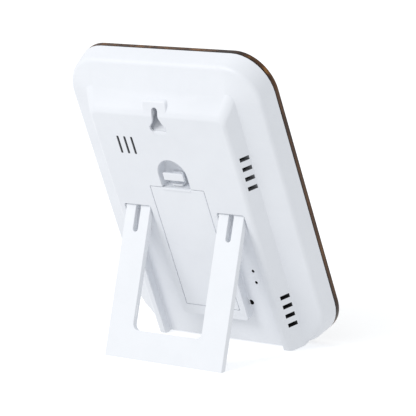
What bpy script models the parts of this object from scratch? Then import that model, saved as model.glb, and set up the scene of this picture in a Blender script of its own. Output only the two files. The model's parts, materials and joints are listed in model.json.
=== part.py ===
"""Battery-powered desk display with a wood-look front and a fold-out stand.

The housing is modelled upright in its own axes: X across, Y from the display (0) to the back, Z up along
the panel from its bottom edge.  One empty then leans the whole housing back onto the stand's foot.
All sizes are in metres.
"""
import math

import bmesh
import bpy
from mathutils import Matrix, Vector

MM = 0.001
GAP = 0.3 * MM                    # clearance between neighbouring pieces

# Driving dimensions of the housing
WIDTH = 112.0 * MM
HEIGHT = 145.8 * MM
DEPTH = 22.1 * MM                 # display face to plateau face
CORNER_R = 18.4 * MM
LEAN = math.radians(20.0)
STAND_OPEN = math.radians(38.0)
FOOT_TRIM = 0.4 * MM              # flat worn into the edge that the housing stands on

# Front frame
FRAME_T = 2.7 * MM
WINDOW_HALF = 44.0 * MM
WINDOW_Z = (19.0 * MM, 132.0 * MM)
WINDOW_REBATE = 1.3 * MM
WINDOW_LIP = 2.0 * MM
WINDOW_R = 3.0 * MM
TONGUE_T = 1.2 * MM
TONGUE_END = 5.0 * MM

# Rear cover
WALL = 1.8 * MM
SHOULDER_Y = 12.66 * MM
SIDE_DRAFT = 1.2 * MM
TOP_DRAFT = 2.2 * MM
SHOULDER_R = 2.2 * MM
PLATEAU_BASE_Y = 15.5 * MM                    # the shoulder slopes up to the plateau here
PLATEAU_HALF = (42.9 * MM, 38.65 * MM)        # at its base, at the face
PLATEAU_TOP = (131.9 * MM, 122.8 * MM)
PLATEAU_BOTTOM = 1.0 * MM
PLATEAU_ROOT = 3.0 * MM                       # how far the plateau is sunk into the shoulder
PLATEAU_R = 4.0 * MM
PLATEAU_EDGE_R = 1.4 * MM
FACE_WALL = 1.6 * MM

# Stand channel around the island that holds the batteries
CHANNEL_HALF = 35.0 * MM
CHANNEL_TOP = 73.6 * MM
CHANNEL_FLOOR = DEPTH - 4.3 * MM
ISLAND_HALF = 19.3 * MM
ISLAND_BOTTOM = 15.7 * MM
ISLAND_R = 2.0 * MM

# Stand
PIVOT_Y = 20.4 * MM
PIVOT_Z = 71.8 * MM
STAND_T = 2.8 * MM
STAND_HALF = 34.3 * MM
STAND_INNER = 20.0 * MM
STAND_LENGTH = 72.0 * MM
CROSSBAR_TOP = 56.7 * MM          # distance from the pivot down to the opening's lower edge
OPENING_R = 3.0 * MM
FLEX_SLOT = (2.8 * MM, 13.4 * MM)
TRUNNION_R = 1.0 * MM
TRUNNION_LENGTH = 1.6 * MM
TRUNNION_HOLE_R = 1.15 * MM
DETENT = (0.4 * MM, 45.0 * MM, 51.0 * MM)

# Battery bay and door
BAY_HALF = 15.0 * MM
BAY_Z = (22.5 * MM, 83.0 * MM)
BAY_FLOOR = 6.0 * MM
BAY_WALL = 1.4 * MM
BAY_END_WALL = 3.1 * MM
DOOR_HALF = 15.5 * MM
DOOR_Z = (21.1 * MM, 84.5 * MM)
DOOR_T = 1.4 * MM
DOOR_TAB_X = 8.0 * MM
DOOR_TAB_WIDTH = 4.0 * MM
CELL_R = 7.1 * MM
CELL_X = 7.45 * MM
CELL_BODY = 49.5 * MM
NUB_R = 2.75 * MM
NUB_LENGTH = 1.0 * MM
CONTACT_T = 0.4 * MM
SPRING_R = (4.4 * MM, 3.0 * MM)
SPRING_WIRE_R = 0.35 * MM
SPRING_TURNS = 5

# Thumb recess and latch
THUMB_R = 8.3 * MM
THUMB_CENTRE_Z = 91.0 * MM
THUMB_FLOOR = 16.6 * MM
LATCH_BAR_HALF = 5.8 * MM
LATCH_BAR_Z = (88.6 * MM, 92.3 * MM)
LATCH_ARM_X = (-2.5 * MM, 3.5 * MM)
LATCH_T = 1.0 * MM

# Keyhole
KEY_BOTTOM = 114.1 * MM
KEY_BELL_HALF = 4.8 * MM
KEY_CORNER_R = 1.5 * MM
KEY_FLANK_R = 7.0 * MM
KEY_FLANK_Z = 122.5 * MM                        # where the bell's flanks run into the slot
KEY_FLANK_END = 235.0                           # degrees round the flank's centre
KEY_SLOT_HALF = 1.7 * MM
KEY_SLOT_TOP = 125.9 * MM
KEY_RAMP = (4.0 * MM, 0.9 * MM, 2.4 * MM)       # half width, depth, length of the lead-in below the hole
KEY_POCKET_FLOOR = 13.0 * MM
KEY_POCKET = (6.0 * MM, 112.6 * MM, 127.0 * MM)
KEY_SLOPE = ((13.0 * MM, 120.5 * MM), (19.4 * MM, 115.2 * MM),
             (20.9 * MM, 114.0 * MM))   # (Y, Z) of its floor
KEY_PAD = (6.8 * MM, 121.9 * MM, 128.6 * MM)    # half width, Z where it leaves the face, Z of its top
KEY_PAD_DROP = 2.0 * MM                         # how far its top lies below the face

# Small openings
BUZZER_SLOTS_X = (17.9 * MM, 21.95 * MM, 26.0 * MM)
BUZZER_SLOT_Z = (101.4 * MM, 110.1 * MM)
BUZZER_SLOT_WIDTH = 1.0 * MM
VENT_GROUPS_Z = (93.95 * MM, 21.75 * MM)
VENT_PITCH = 4.9 * MM
VENTS_IN_GROUP = 4
VENT_SIZE = (3.9 * MM, 2.0 * MM)
VENT_Y = 17.95 * MM
PINHOLES = ((-26.8 * MM, 41.0 * MM, 0.65 * MM), (-26.8 * MM, 34.9 * MM, 0.65 * MM),
            (-20.4 * MM, 23.5 * MM, 1.2 * MM))

# Boards
BOARD_T = 1.6 * MM
MAIN_BOARD_HALF = 51.0 * MM
MAIN_BOARD_Z = (88.0 * MM, 134.0 * MM)
MAIN_BOARD_Y = 6.3 * MM
BOSS_X = 48.0 * MM
BOSS_Z = (92.0 * MM, 130.2 * MM)
BOSS_R = 2.3 * MM
SCREW_HOLE_R = 1.3 * MM
SCREW_SHANK_R = 1.0 * MM
SCREW_HEAD_R = 2.2 * MM
SCREW_HEAD_T = 1.5 * MM
KEY_BOARD_X = (-34.0 * MM, -17.4 * MM)
KEY_BOARD_Z = (18.0 * MM, 50.0 * MM)
KEY_BOARD_Y = 8.0 * MM
KEY_POSTS = ((-31.2 * MM, 22.0 * MM), (-31.2 * MM, 47.0 * MM))
SWITCH_SIZE = 4.5 * MM
SWITCH_T = 3.2 * MM
PLUNGER_R = 1.2 * MM
PLUNGER_TIP = 15.2 * MM


def clear_scene():
    for item in list(bpy.data.objects):
        bpy.data.objects.remove(item, do_unlink=True)


def new_collection(name):
    collection = bpy.data.collections.new(name)
    bpy.context.scene.collection.children.link(collection)
    return collection


clear_scene()
PARTS = new_collection("desk_display")
CUTTERS = new_collection("cutters")


def new_empty(name, location=(0, 0, 0), parent=None):
    empty = bpy.data.objects.new(name, None)
    empty.location = location
    empty.parent = parent
    PARTS.objects.link(empty)
    return empty


HOUSING = new_empty("housing_axes")


def paint(item, colour, roughness=0.5, metallic=0.0, alpha=1.0):
    material = bpy.data.materials.new(item.name)
    material.use_nodes = True
    shader = material.node_tree.nodes["Principled BSDF"]
    shader.inputs["Base Color"].default_value = (*colour, 1.0)
    shader.inputs["Roughness"].default_value = roughness
    shader.inputs["Metallic"].default_value = metallic
    shader.inputs["Alpha"].default_value = alpha
    item.data.materials.append(material)
    return item


WHITE = (0.80, 0.81, 0.83)
GREEN = (0.03, 0.16, 0.07)
STEEL = (0.62, 0.62, 0.62)
BLACK = (0.02, 0.02, 0.02)


def add_object(name, mesh, location=(0, 0, 0), parent=HOUSING):
    mesh.shade_smooth()
    mesh.set_sharp_from_angle(angle=math.radians(30))
    item = bpy.data.objects.new(name, mesh)
    item.location = location
    item.parent = parent
    PARTS.objects.link(item)
    return item


def as_cutter(item):
    PARTS.objects.unlink(item)
    CUTTERS.objects.link(item)
    item.hide_render = True
    item.display_type = "WIRE"
    return item


def boolean(target, other, operation):
    modifier = target.modifiers.new(other.name, "BOOLEAN")
    modifier.operation = operation
    modifier.solver = "EXACT"
    modifier.object = other
    return target


def cut(target, *cutters):
    for cutter in cutters:
        boolean(target, as_cutter(cutter), "DIFFERENCE")
    return target


def join(target, *others):
    for other in others:
        boolean(target, as_cutter(other), "UNION")
    return target


def bevel(item, width, segments=2, angle=40.0):
    modifier = item.modifiers.new("edges", "BEVEL")
    modifier.width = width
    modifier.segments = segments
    modifier.limit_method = "ANGLE"
    modifier.angle_limit = math.radians(angle)
    return item


def box(name, low, high, origin=(0, 0, 0), parent=HOUSING):
    """A block between two corners; origin is where the object's own origin lies."""
    low, high, origin = Vector(low), Vector(high), Vector(origin)
    mesh = bpy.data.meshes.new(name)
    shape = bmesh.new()
    bmesh.ops.create_cube(shape, size=1.0)
    bmesh.ops.scale(shape, vec=high - low, verts=shape.verts)
    bmesh.ops.translate(shape, vec=(low + high) / 2 - origin, verts=shape.verts)
    shape.to_mesh(mesh)
    shape.free()
    return add_object(name, mesh, origin, parent)


def cylinder(name, radius, start, end, segments=24, parent=HOUSING):
    """A round bar between two points, with its origin at the start."""
    start, end = Vector(start), Vector(end)
    length = (end - start).length
    mesh = bpy.data.meshes.new(name)
    shape = bmesh.new()
    bmesh.ops.create_cone(shape, cap_ends=True, segments=segments, radius1=radius, radius2=radius,
                          depth=length)
    bmesh.ops.translate(shape, vec=(0, 0, length / 2), verts=shape.verts)
    turn = (end - start).to_track_quat("Z", "Y").to_matrix()
    bmesh.ops.rotate(shape, cent=(0, 0, 0), matrix=turn, verts=shape.verts)
    shape.to_mesh(mesh)
    shape.free()
    return add_object(name, mesh, start, parent)


def turned(name, profile, location, rotation=(0, 0, 0), segments=24, parent=HOUSING):
    """A turned solid from a list of (radius, height) pairs that runs from top to bottom."""
    mesh = bpy.data.meshes.new(name)
    shape = bmesh.new()
    points = [shape.verts.new((radius, 0, height)) for radius, height in profile]
    for first, second in zip(points, points[1:]):
        shape.edges.new((first, second))
    shape.to_mesh(mesh)
    shape.free()
    item = add_object(name, mesh, location, parent)
    item.rotation_euler = rotation
    modifier = item.modifiers.new("turn", "SCREW")
    modifier.steps = segments
    modifier.render_steps = segments
    modifier.use_merge_vertices = True
    modifier.merge_threshold = 0.00001
    return item


def rounded_outline(x_low, x_high, z_low, z_high, radii, steps=6):
    """Corner radii run bottom left, bottom right, top right, top left."""
    corners = ((x_low, z_low, 1, 1, 180), (x_high, z_low, -1, 1, 270),
               (x_high, z_high, -1, -1, 0), (x_low, z_high, 1, -1, 90))
    points = []
    for (x, z, side_x, side_z, start), radius in zip(corners, radii):
        centre_x = x + side_x * radius
        centre_z = z + side_z * radius
        for step in range(steps + 1):
            angle = math.radians(start + 90.0 * step / steps)
            points.append((centre_x + radius * math.cos(angle), centre_z + radius * math.sin(angle)))
    return points


def circle(x, z, radius, steps):
    turns = [2 * math.pi * step / steps for step in range(steps)]
    return [(x + radius * math.cos(turn), z + radius * math.sin(turn)) for turn in turns]


def plate(name, outlines, y_low, y_high, parent=HOUSING):
    """A flat piece: one or more closed outlines in X and Z, extruded along Y."""
    curve = bpy.data.curves.new(name, "CURVE")
    curve.dimensions = "2D"
    curve.fill_mode = "BOTH"
    curve.extrude = (y_high - y_low) / 2
    for outline in outlines:
        spline = curve.splines.new("POLY")
        spline.points.add(len(outline) - 1)
        for point, (x, z) in zip(spline.points, outline):
            point.co = (x, z, 0, 1)
        spline.use_cyclic_u = True
    source = bpy.data.objects.new(name + "_outline", curve)
    PARTS.objects.link(source)
    evaluated = source.evaluated_get(bpy.context.evaluated_depsgraph_get())
    mesh = bpy.data.meshes.new_from_object(evaluated)
    bpy.data.objects.remove(source, do_unlink=True)
    shape = bmesh.new()
    shape.from_mesh(mesh)
    bmesh.ops.remove_doubles(shape, verts=shape.verts, dist=0.000001)
    bmesh.ops.recalc_face_normals(shape, faces=shape.faces)
    shape.to_mesh(mesh)
    shape.free()
    mesh.name = name
    mesh.transform(Matrix.Rotation(math.pi / 2, 4, "X"))
    return add_object(name, mesh, (0, (y_low + y_high) / 2, 0), parent)


def loft(name, rings, parent=HOUSING):
    """A solid through outlines of equal length, each given with its Y."""
    mesh = bpy.data.meshes.new(name)
    shape = bmesh.new()
    loops = [[shape.verts.new((x, y, z)) for x, z in outline] for outline, y in rings]
    for lower, upper in zip(loops, loops[1:]):
        for index in range(len(lower)):
            following = (index + 1) % len(lower)
            shape.faces.new((lower[index], lower[following], upper[following], upper[index]))
    shape.faces.new(loops[0])
    shape.faces.new(loops[-1])
    bmesh.ops.recalc_face_normals(shape, faces=shape.faces)
    shape.to_mesh(mesh)
    shape.free()
    return add_object(name, mesh, (0, 0, 0), parent)


def smooth_route(points, spacing):
    """Points along a Catmull-Rom curve through the given ones."""
    points = [Vector(point) for point in points]
    padded = [2 * points[0] - points[1]] + points + [2 * points[-1] - points[-2]]
    route = []
    for before, start, end, after in zip(padded, padded[1:], padded[2:], padded[3:]):
        count = max(2, round((end - start).length / spacing))
        for step in range(count):
            t = step / count
            second = (2 * before - 5 * start + 4 * end - after) * t ** 2
            third = (3 * start - before - 3 * end + after) * t ** 3
            route.append(0.5 * (2 * start + (end - before) * t + second + third))
    return route + [points[-1]]


def wire(name, points, radius, resolution=2):
    curve = bpy.data.curves.new(name, "CURVE")
    curve.dimensions = "3D"
    curve.bevel_depth = radius
    curve.bevel_resolution = resolution
    curve.use_fill_caps = True
    spline = curve.splines.new("POLY")
    spline.points.add(len(points) - 1)
    for point, place in zip(spline.points, points):
        point.co = (*place, 1)
    item = bpy.data.objects.new(name, curve)
    item.parent = HOUSING
    PARTS.objects.link(item)
    return item


def sloped_shoulder(inset=0.0):
    """Outline where the sloping shoulder meets the plateau, with its Y."""
    half = PLATEAU_HALF[0] - inset
    radii = [MM, MM, PLATEAU_R + MM, PLATEAU_R + MM]
    outline = rounded_outline(-half, half, SHOULDER_R + inset, PLATEAU_TOP[0] - inset, radii)
    return outline, PLATEAU_BASE_Y - inset


def shell_rings(half, top, bottom, corners, y_span, edge_r, inset=0.0, steps=3):
    """Outlines of a drafted block with a rounded rim; half and top are (start, end) pairs."""
    y_start, y_end = y_span
    levels = [(y_start, 0.0)]
    for step in range(steps + 1):
        angle = math.radians(90.0 * step / steps)
        levels.append((y_end - edge_r + edge_r * math.sin(angle), edge_r * (1 - math.cos(angle))))
    rings = []
    for y, rounding in levels:
        share = (y - y_start) / (y_end - y_start)
        side = half[0] + (half[1] - half[0]) * share - inset - rounding
        upper = top[0] + (top[1] - top[0]) * share - inset - rounding
        radii = [max(radius - inset - rounding, 0.2 * MM) for radius in corners]
        rings.append((rounded_outline(-side, side, bottom + inset + rounding, upper, radii), y))
    return rings


def build_front_frame():
    half = WIDTH / 2
    outline = rounded_outline(-half, half, 0, HEIGHT, [CORNER_R] * 4, steps=8)
    opening = rounded_outline(-WINDOW_HALF + WINDOW_LIP, WINDOW_HALF - WINDOW_LIP, WINDOW_Z[0] + WINDOW_LIP,
                              WINDOW_Z[1] - WINDOW_LIP, [WINDOW_R] * 4, steps=4)
    frame = bevel(plate("front_frame", [outline, opening], 0, FRAME_T), 0.4 * MM)
    rebate = rounded_outline(-WINDOW_HALF, WINDOW_HALF, *WINDOW_Z, [WINDOW_R] * 4, steps=4)
    cut(frame, plate("window_rebate", [rebate], -1 * MM, WINDOW_REBATE))
    reach = WALL + GAP * 2
    outer = rounded_outline(-half + reach, half - reach, reach, HEIGHT - reach - MM, [CORNER_R - reach] * 4)
    reach += TONGUE_T
    inner = rounded_outline(-half + reach, half - reach, reach, HEIGHT - reach - MM, [CORNER_R - reach] * 4)
    join(frame, plate("tongue", [outer, inner], FRAME_T - 0.2 * MM, TONGUE_END))
    for side in (-1, 1):
        for z in BOSS_Z:
            rings = [circle(side * BOSS_X, z, BOSS_R, 16), circle(side * BOSS_X, z, SCREW_HOLE_R, 12)]
            join(frame, plate("boss", rings, FRAME_T - 0.3 * MM, MAIN_BOARD_Y - GAP))
    return paint(frame, (0.20, 0.08, 0.03), 0.3)


def build_display():
    low, high = WINDOW_Z
    clear = rounded_outline(-WINDOW_HALF + GAP, WINDOW_HALF - GAP, low + GAP, high - GAP,
                            [WINDOW_R - GAP] * 4, 4)
    window = plate("display_window", [clear], 0.15 * MM, WINDOW_REBATE - GAP)
    paint(window, (0.10, 0.11, 0.12), 0.1, alpha=0.4)
    edge = WINDOW_LIP + GAP + 1.0 * MM
    lcd_half = WINDOW_HALF - edge
    lcd = box("lcd_panel", (-lcd_half, WINDOW_REBATE, low + edge), (lcd_half, 3.0 * MM, high - edge))
    paint(lcd, (0.30, 0.34, 0.30), 0.2)
    half = WINDOW_HALF - 1.0 * MM
    strip_top = high - edge - 0.5 * MM
    strip_low = strip_top - 2.5 * MM
    reflector = box("reflector", (-half, 3.3 * MM, low + 2.0 * MM), (half, 3.9 * MM, strip_low - 1.5 * MM))
    paint(reflector, (0.8, 0.8, 0.8), 0.4)
    outer = rounded_outline(-half - MM, half + MM, low, high, [MM] * 4, 1)
    inner = rounded_outline(-half + 2.5 * MM, half - 2.5 * MM, low + 5.0 * MM, high - MM, [MM] * 4, 1)
    bezel = plate("lcd_bezel", [outer, inner], 4.2 * MM, 4.7 * MM)
    paint(bezel, STEEL, 0.3, 1.0)
    strip = box("elastomer_strip", (-38.0 * MM, 3.3 * MM, strip_low),
                (38.0 * MM, MAIN_BOARD_Y - GAP, strip_top))
    paint(strip, (0.05, 0.05, 0.06), 0.6)


def channel_outline(grow):
    """U-shaped outline of the stand's channel, grown outwards into its walls."""
    outer = CHANNEL_HALF + grow
    island = ISLAND_HALF - grow
    top = CHANNEL_TOP + grow
    bottom = ISLAND_BOTTOM + grow
    arc = []
    for step in range(5):
        angle = math.radians(180.0 + 90.0 * step / 4)
        arc.append((-island + ISLAND_R + ISLAND_R * math.cos(angle),
                    bottom + ISLAND_R + ISLAND_R * math.sin(angle)))
    right_arc = [(-x, z) for x, z in arc]
    return ([(-outer, -2 * MM), (outer, -2 * MM), (outer, top), (island, top)] + right_arc
            + list(reversed(arc)) + [(-island, top), (-outer, top)])


def build_rear_cover():
    half = (WIDTH / 2, WIDTH / 2 - SIDE_DRAFT)
    top = (HEIGHT, HEIGHT - TOP_DRAFT)
    y_front = FRAME_T + GAP
    rings = shell_rings(half, top, 0, [CORNER_R] * 4, (y_front, SHOULDER_Y), SHOULDER_R)
    cover = loft("rear_cover", rings[:-1] + [sloped_shoulder()])
    corners = [1.0 * MM, 1.0 * MM, PLATEAU_R, PLATEAU_R]
    rings = shell_rings(PLATEAU_HALF, PLATEAU_TOP, PLATEAU_BOTTOM, corners, (PLATEAU_BASE_Y, DEPTH),
                        PLATEAU_EDGE_R)
    root = [(outline, y - PLATEAU_ROOT) for outline, y in rings[:1]]
    join(cover, loft("plateau", root + rings), build_key_pad())
    cut(cover, build_cavity(half, top, corners))
    cut(cover, plate("channel", [channel_outline(0)], CHANNEL_FLOOR, DEPTH + 2 * MM))
    cut_battery_bay(cover)
    cut_keyhole(cover)
    cut_small_openings(cover)
    for x, z in KEY_POSTS:
        post = cylinder("key_post", BOSS_R, (x, CHANNEL_FLOOR - WALL + 0.3 * MM, z),
                        (x, KEY_BOARD_Y + BOARD_T + GAP, z), 16)
        join(cover, post)
        cut(cover, cylinder("key_post_bore", SCREW_HOLE_R, (x, CHANNEL_FLOOR - WALL, z), (x, KEY_BOARD_Y, z),
                            12))
    return paint(cover, WHITE, 0.35)


def build_cavity(half, top, corners):
    """Inside of the cover, less the blocks that carry the channel, bay, thumb recess and keyhole."""
    rings = shell_rings(half, top, 0, [CORNER_R] * 4, (FRAME_T, SHOULDER_Y - WALL), 0.6 * MM, inset=WALL,
                        steps=1)
    inside = loft("cavity", rings + [sloped_shoulder(WALL)])
    rings = shell_rings(PLATEAU_HALF, PLATEAU_TOP, PLATEAU_BOTTOM, corners,
                        (PLATEAU_BASE_Y - WALL, DEPTH - FACE_WALL), 0.4 * MM, inset=WALL * 1.3, steps=1)
    root = [(outline, y - PLATEAU_ROOT) for outline, y in rings[:1]]
    upper = loft("plateau_cavity", root + rings)
    join(inside, upper)
    past = DEPTH + 3 * MM
    cut(inside, plate("channel_walls", [channel_outline(WALL)], CHANNEL_FLOOR - WALL, past))
    cut(inside, box("bay_walls", (-BAY_HALF - BAY_WALL, BAY_FLOOR - 1.0 * MM, BAY_Z[0] - BAY_END_WALL),
                    (BAY_HALF + BAY_WALL, past, BAY_Z[1] + BAY_END_WALL)))
    cut(inside, box("thumb_walls", (-THUMB_R - BAY_WALL, THUMB_FLOOR - BAY_WALL, BAY_Z[1] + 0.7 * MM),
                    (THUMB_R + BAY_WALL, past, THUMB_CENTRE_Z + THUMB_R + BAY_WALL)))
    pocket_half, pocket_low, pocket_high = KEY_POCKET
    cut(inside, box("key_walls", (-pocket_half - BAY_WALL, KEY_POCKET_FLOOR - BAY_WALL,
                                  pocket_low - BAY_WALL),
                    (pocket_half + BAY_WALL, past, pocket_high + BAY_WALL)))
    return inside


def cut_battery_bay(cover):
    past = DEPTH + 2 * MM
    seat = DEPTH - DOOR_T - GAP
    cut(cover, box("bay", (-BAY_HALF, BAY_FLOOR, BAY_Z[0]), (BAY_HALF, past, BAY_Z[1])))
    cut(cover, box("door_seat", (-DOOR_HALF - GAP, seat, DOOR_Z[0] - GAP),
                   (DOOR_HALF + GAP, past, DOOR_Z[1] + GAP)))
    arc = [(THUMB_R * math.cos(math.radians(a)), THUMB_CENTRE_Z + THUMB_R * math.sin(math.radians(a)))
           for a in range(0, 181, 15)]
    low = DOOR_Z[1] + 0.1 * MM
    cut(cover, plate("thumb_recess", [[(-THUMB_R, low), (THUMB_R, low)] + arc], THUMB_FLOOR, past))
    reach = DOOR_TAB_WIDTH / 2 + GAP
    for side in (-1, 1):
        x = side * DOOR_TAB_X
        cut(cover, box("tab_slot", (x - reach, 16.6 * MM, BAY_Z[0] - 4.2 * MM),
                       (x + reach, seat + 0.15 * MM, BAY_Z[0] + 0.5 * MM)))
        cut(cover, cylinder("lead_hole", 1.1 * MM, (side * 10.0 * MM, 10.0 * MM, BAY_Z[1] - MM),
                            (side * 10.0 * MM, 10.0 * MM, BAY_Z[1] + BAY_END_WALL + MM), 12))


def build_key_pad():
    """Pad that carries the keyhole's slot past the plateau's upper edge, sloping away from the face."""
    half, low, high = KEY_PAD
    sunk = 6.0 * MM
    corner = 1.5 * MM
    spread = 0.6 * MM
    root = rounded_outline(-half - spread, half + spread, low - 2 * MM, high + spread,
                           [MM, MM, corner, corner], 3)
    rim = rounded_outline(-half, half, low - 2 * MM, high, [MM, MM, corner, corner], 3)
    pad = loft("key_pad", [(root, DEPTH - sunk), (rim, DEPTH - 0.01 * MM)])
    slope = math.atan2(KEY_PAD_DROP, high - low)
    top = box("key_pad_slope", (-2 * half, 0, -low), (2 * half, 4 * MM, low))
    top.location = (0, DEPTH, low)
    top.rotation_euler.x = slope
    return cut(pad, top)


def arc_points(centre_x, centre_z, radius, start, end, steps):
    points = []
    for step in range(steps + 1):
        angle = math.radians(start + (end - start) * step / steps)
        points.append((centre_x + radius * math.cos(angle), centre_z + radius * math.sin(angle)))
    return points


def keyhole_outline():
    """A bell below a round-ended slot."""
    corner = KEY_BELL_HALF - KEY_CORNER_R
    right = arc_points(corner, KEY_BOTTOM + KEY_CORNER_R, KEY_CORNER_R, -90, 20, 4)
    right += arc_points(KEY_SLOT_HALF + KEY_FLANK_R, KEY_FLANK_Z, KEY_FLANK_R, KEY_FLANK_END, 180, 6)
    right += arc_points(0, KEY_SLOT_TOP - KEY_SLOT_HALF, KEY_SLOT_HALF, 0, 80, 3)
    return right + [(-x, z) for x, z in reversed(right)]


def cut_keyhole(cover):
    """Keyhole with a lead-in ramp below it and a pocket behind whose floor slopes down towards the slot."""
    past = DEPTH + 2 * MM
    half, _, top = KEY_POCKET
    mouth_top = KEY_PAD[1]
    deep, middle, mouth = KEY_SLOPE
    cut(cover, loft("key_pocket", [(pocket_outline(half, deep[1], top), deep[0]),
                                   (pocket_outline(half, middle[1], top), middle[0])]))
    cut(cover, loft("key_mouth", [(pocket_outline(half, middle[1], mouth_top), middle[0] - 0.05 * MM),
                                  (pocket_outline(half, mouth[1], mouth_top), mouth[0])]))
    cut(cover, plate("keyhole", [keyhole_outline()], mouth[0] - 0.2 * MM, past))
    slot = rounded_outline(-KEY_SLOT_HALF, KEY_SLOT_HALF, mouth_top - 2 * MM, KEY_SLOT_TOP,
                           [0.3 * MM] * 2 + [KEY_SLOT_HALF * 0.98] * 2, 4)
    cut(cover, plate("key_slot", [slot], middle[0] - 0.2 * MM, past))
    ramp_half, ramp_depth, ramp_length = KEY_RAMP
    high = KEY_BOTTOM + 2 * KEY_CORNER_R
    start = rounded_outline(-ramp_half * 0.8, ramp_half * 0.8, KEY_BOTTOM, high, [MM] * 4, 3)
    end = rounded_outline(-ramp_half, ramp_half, KEY_BOTTOM - ramp_length, high, [2 * MM, 2 * MM, MM, MM], 3)
    cut(cover, loft("key_ramp", [(start, DEPTH - ramp_depth), (end, DEPTH + 0.1 * MM)]))


def pocket_outline(half, low, high):
    return rounded_outline(-half, half, low, high, [0.3 * MM] * 4, 1)


def cut_small_openings(cover):
    past = DEPTH + 2 * MM
    reach = BUZZER_SLOT_WIDTH / 2
    for x in BUZZER_SLOTS_X:
        cut(cover, box("buzzer_slot", (x - reach, DEPTH - 3 * MM, BUZZER_SLOT_Z[0]),
                       (x + reach, past, BUZZER_SLOT_Z[1])))
    length, height = VENT_SIZE
    for middle in VENT_GROUPS_Z:
        for number in range(VENTS_IN_GROUP):
            z = middle + (number - (VENTS_IN_GROUP - 1) / 2) * VENT_PITCH
            cut(cover, box("vent", (-WIDTH / 2, VENT_Y - length / 2, z - height / 2),
                           (-PLATEAU_HALF[1] + 0.5 * MM, VENT_Y + length / 2, z + height / 2)))
    for x, z, radius in PINHOLES:
        cut(cover, cylinder("pinhole", radius, (x, CHANNEL_FLOOR + MM, z), (x, CHANNEL_FLOOR - WALL - MM, z),
                            16))
    for side in (-1, 1):
        for x in (ISLAND_HALF - WALL - 0.3 * MM, CHANNEL_HALF - 0.3 * MM):
            cut(cover, cylinder("trunnion_hole", TRUNNION_HOLE_R, (side * x, PIVOT_Y, PIVOT_Z),
                                (side * (x + WALL + 0.6 * MM), PIVOT_Y, PIVOT_Z), 20))


def build_stand():
    axis = new_empty("stand_axis", (0, PIVOT_Y, PIVOT_Z), HOUSING)
    axis.rotation_euler.x = STAND_OPEN
    reach = STAND_T / 2
    outer = rounded_outline(-STAND_HALF, STAND_HALF, -STAND_LENGTH, 0, [MM, MM, 0.2 * MM, 0.2 * MM], 3)
    opening = rounded_outline(-STAND_INNER, STAND_INNER, -CROSSBAR_TOP, 2 * reach,
                              [OPENING_R, OPENING_R, MM, MM], 4)
    stand = bevel(plate("stand", [outer], -reach, reach, axis), 0.35 * MM)
    join(stand, cylinder("barrel", reach, (-STAND_HALF, 0, 0), (STAND_HALF, 0, 0), 24, axis))
    cut(stand, plate("stand_opening", [opening], -2 * reach, 2 * reach, axis))
    slot_width, slot_end = FLEX_SLOT
    bump, bump_top, bump_end = DETENT
    middle = (STAND_HALF + STAND_INNER) / 2
    for side in (-1, 1):
        x = side * middle
        slot = rounded_outline(x - slot_width / 2, x + slot_width / 2, reach - slot_end, 2 * reach,
                               [slot_width * 0.49] * 2 + [0.1 * MM] * 2, 4)
        cut(stand, plate("flex_slot", [slot], -2 * reach, 2 * reach, axis))
        for start, way in ((STAND_HALF, 1), (STAND_INNER, -1)):
            pin = cylinder("trunnion", TRUNNION_R, (side * (start - way * 0.5 * MM), 0, 0),
                           (side * (start + way * TRUNNION_LENGTH), 0, 0), 20, axis)
            join(stand, pin)
        bump_box = box("detent", (-bump, -0.7 * MM, -bump_end), (bump, 0.7 * MM, -bump_top),
                       (0, 0, 0), axis)
        bump_box.location.x = side * STAND_INNER
        join(stand, bump_box)
    boolean(stand, FLOOR, "DIFFERENCE")
    return paint(stand, WHITE, 0.35)


def build_battery_door():
    axis = new_empty("door_axis", (0, DEPTH, DOOR_Z[0] - GAP / 2), HOUSING)
    door_axis = Vector(axis.location)
    low = Vector((-DOOR_HALF, DEPTH - DOOR_T, DOOR_Z[0])) - door_axis
    high = Vector((DOOR_HALF, DEPTH, DOOR_Z[1])) - door_axis
    door = bevel(box("battery_door", low, high, parent=axis), 0.15 * MM, 1)
    reach = DOOR_TAB_WIDTH / 2
    for side in (-1, 1):
        x = side * DOOR_TAB_X
        tab_low = Vector((x - reach, DEPTH - DOOR_T - 1.5 * MM, DOOR_Z[0] - 2.0 * MM)) - door_axis
        tab_high = Vector((x + reach, DEPTH - DOOR_T - 0.5 * MM, DOOR_Z[0] + 2.2 * MM)) - door_axis
        join(door, box("door_tab", tab_low, tab_high, parent=axis))
        web_low = Vector((x - reach, DEPTH - DOOR_T - 1.3 * MM, DOOR_Z[0] + 1.1 * MM + GAP)) - door_axis
        web_high = Vector((x + reach, DEPTH - DOOR_T + 0.2 * MM, DOOR_Z[0] + 2.4 * MM)) - door_axis
        join(door, box("door_tab_web", web_low, web_high, parent=axis))
    lip_low = Vector((-THUMB_R + 0.4 * MM, DEPTH - 0.3 * MM, DOOR_Z[1] - 1.0 * MM)) - door_axis
    lip_high = Vector((THUMB_R - 0.4 * MM, DEPTH + 0.35 * MM, DOOR_Z[1] - 0.1 * MM)) - door_axis
    join(door, box("door_lip", lip_low, lip_high, parent=axis))
    paint(door, WHITE, 0.35)
    build_latch(axis, door_axis)


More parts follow.
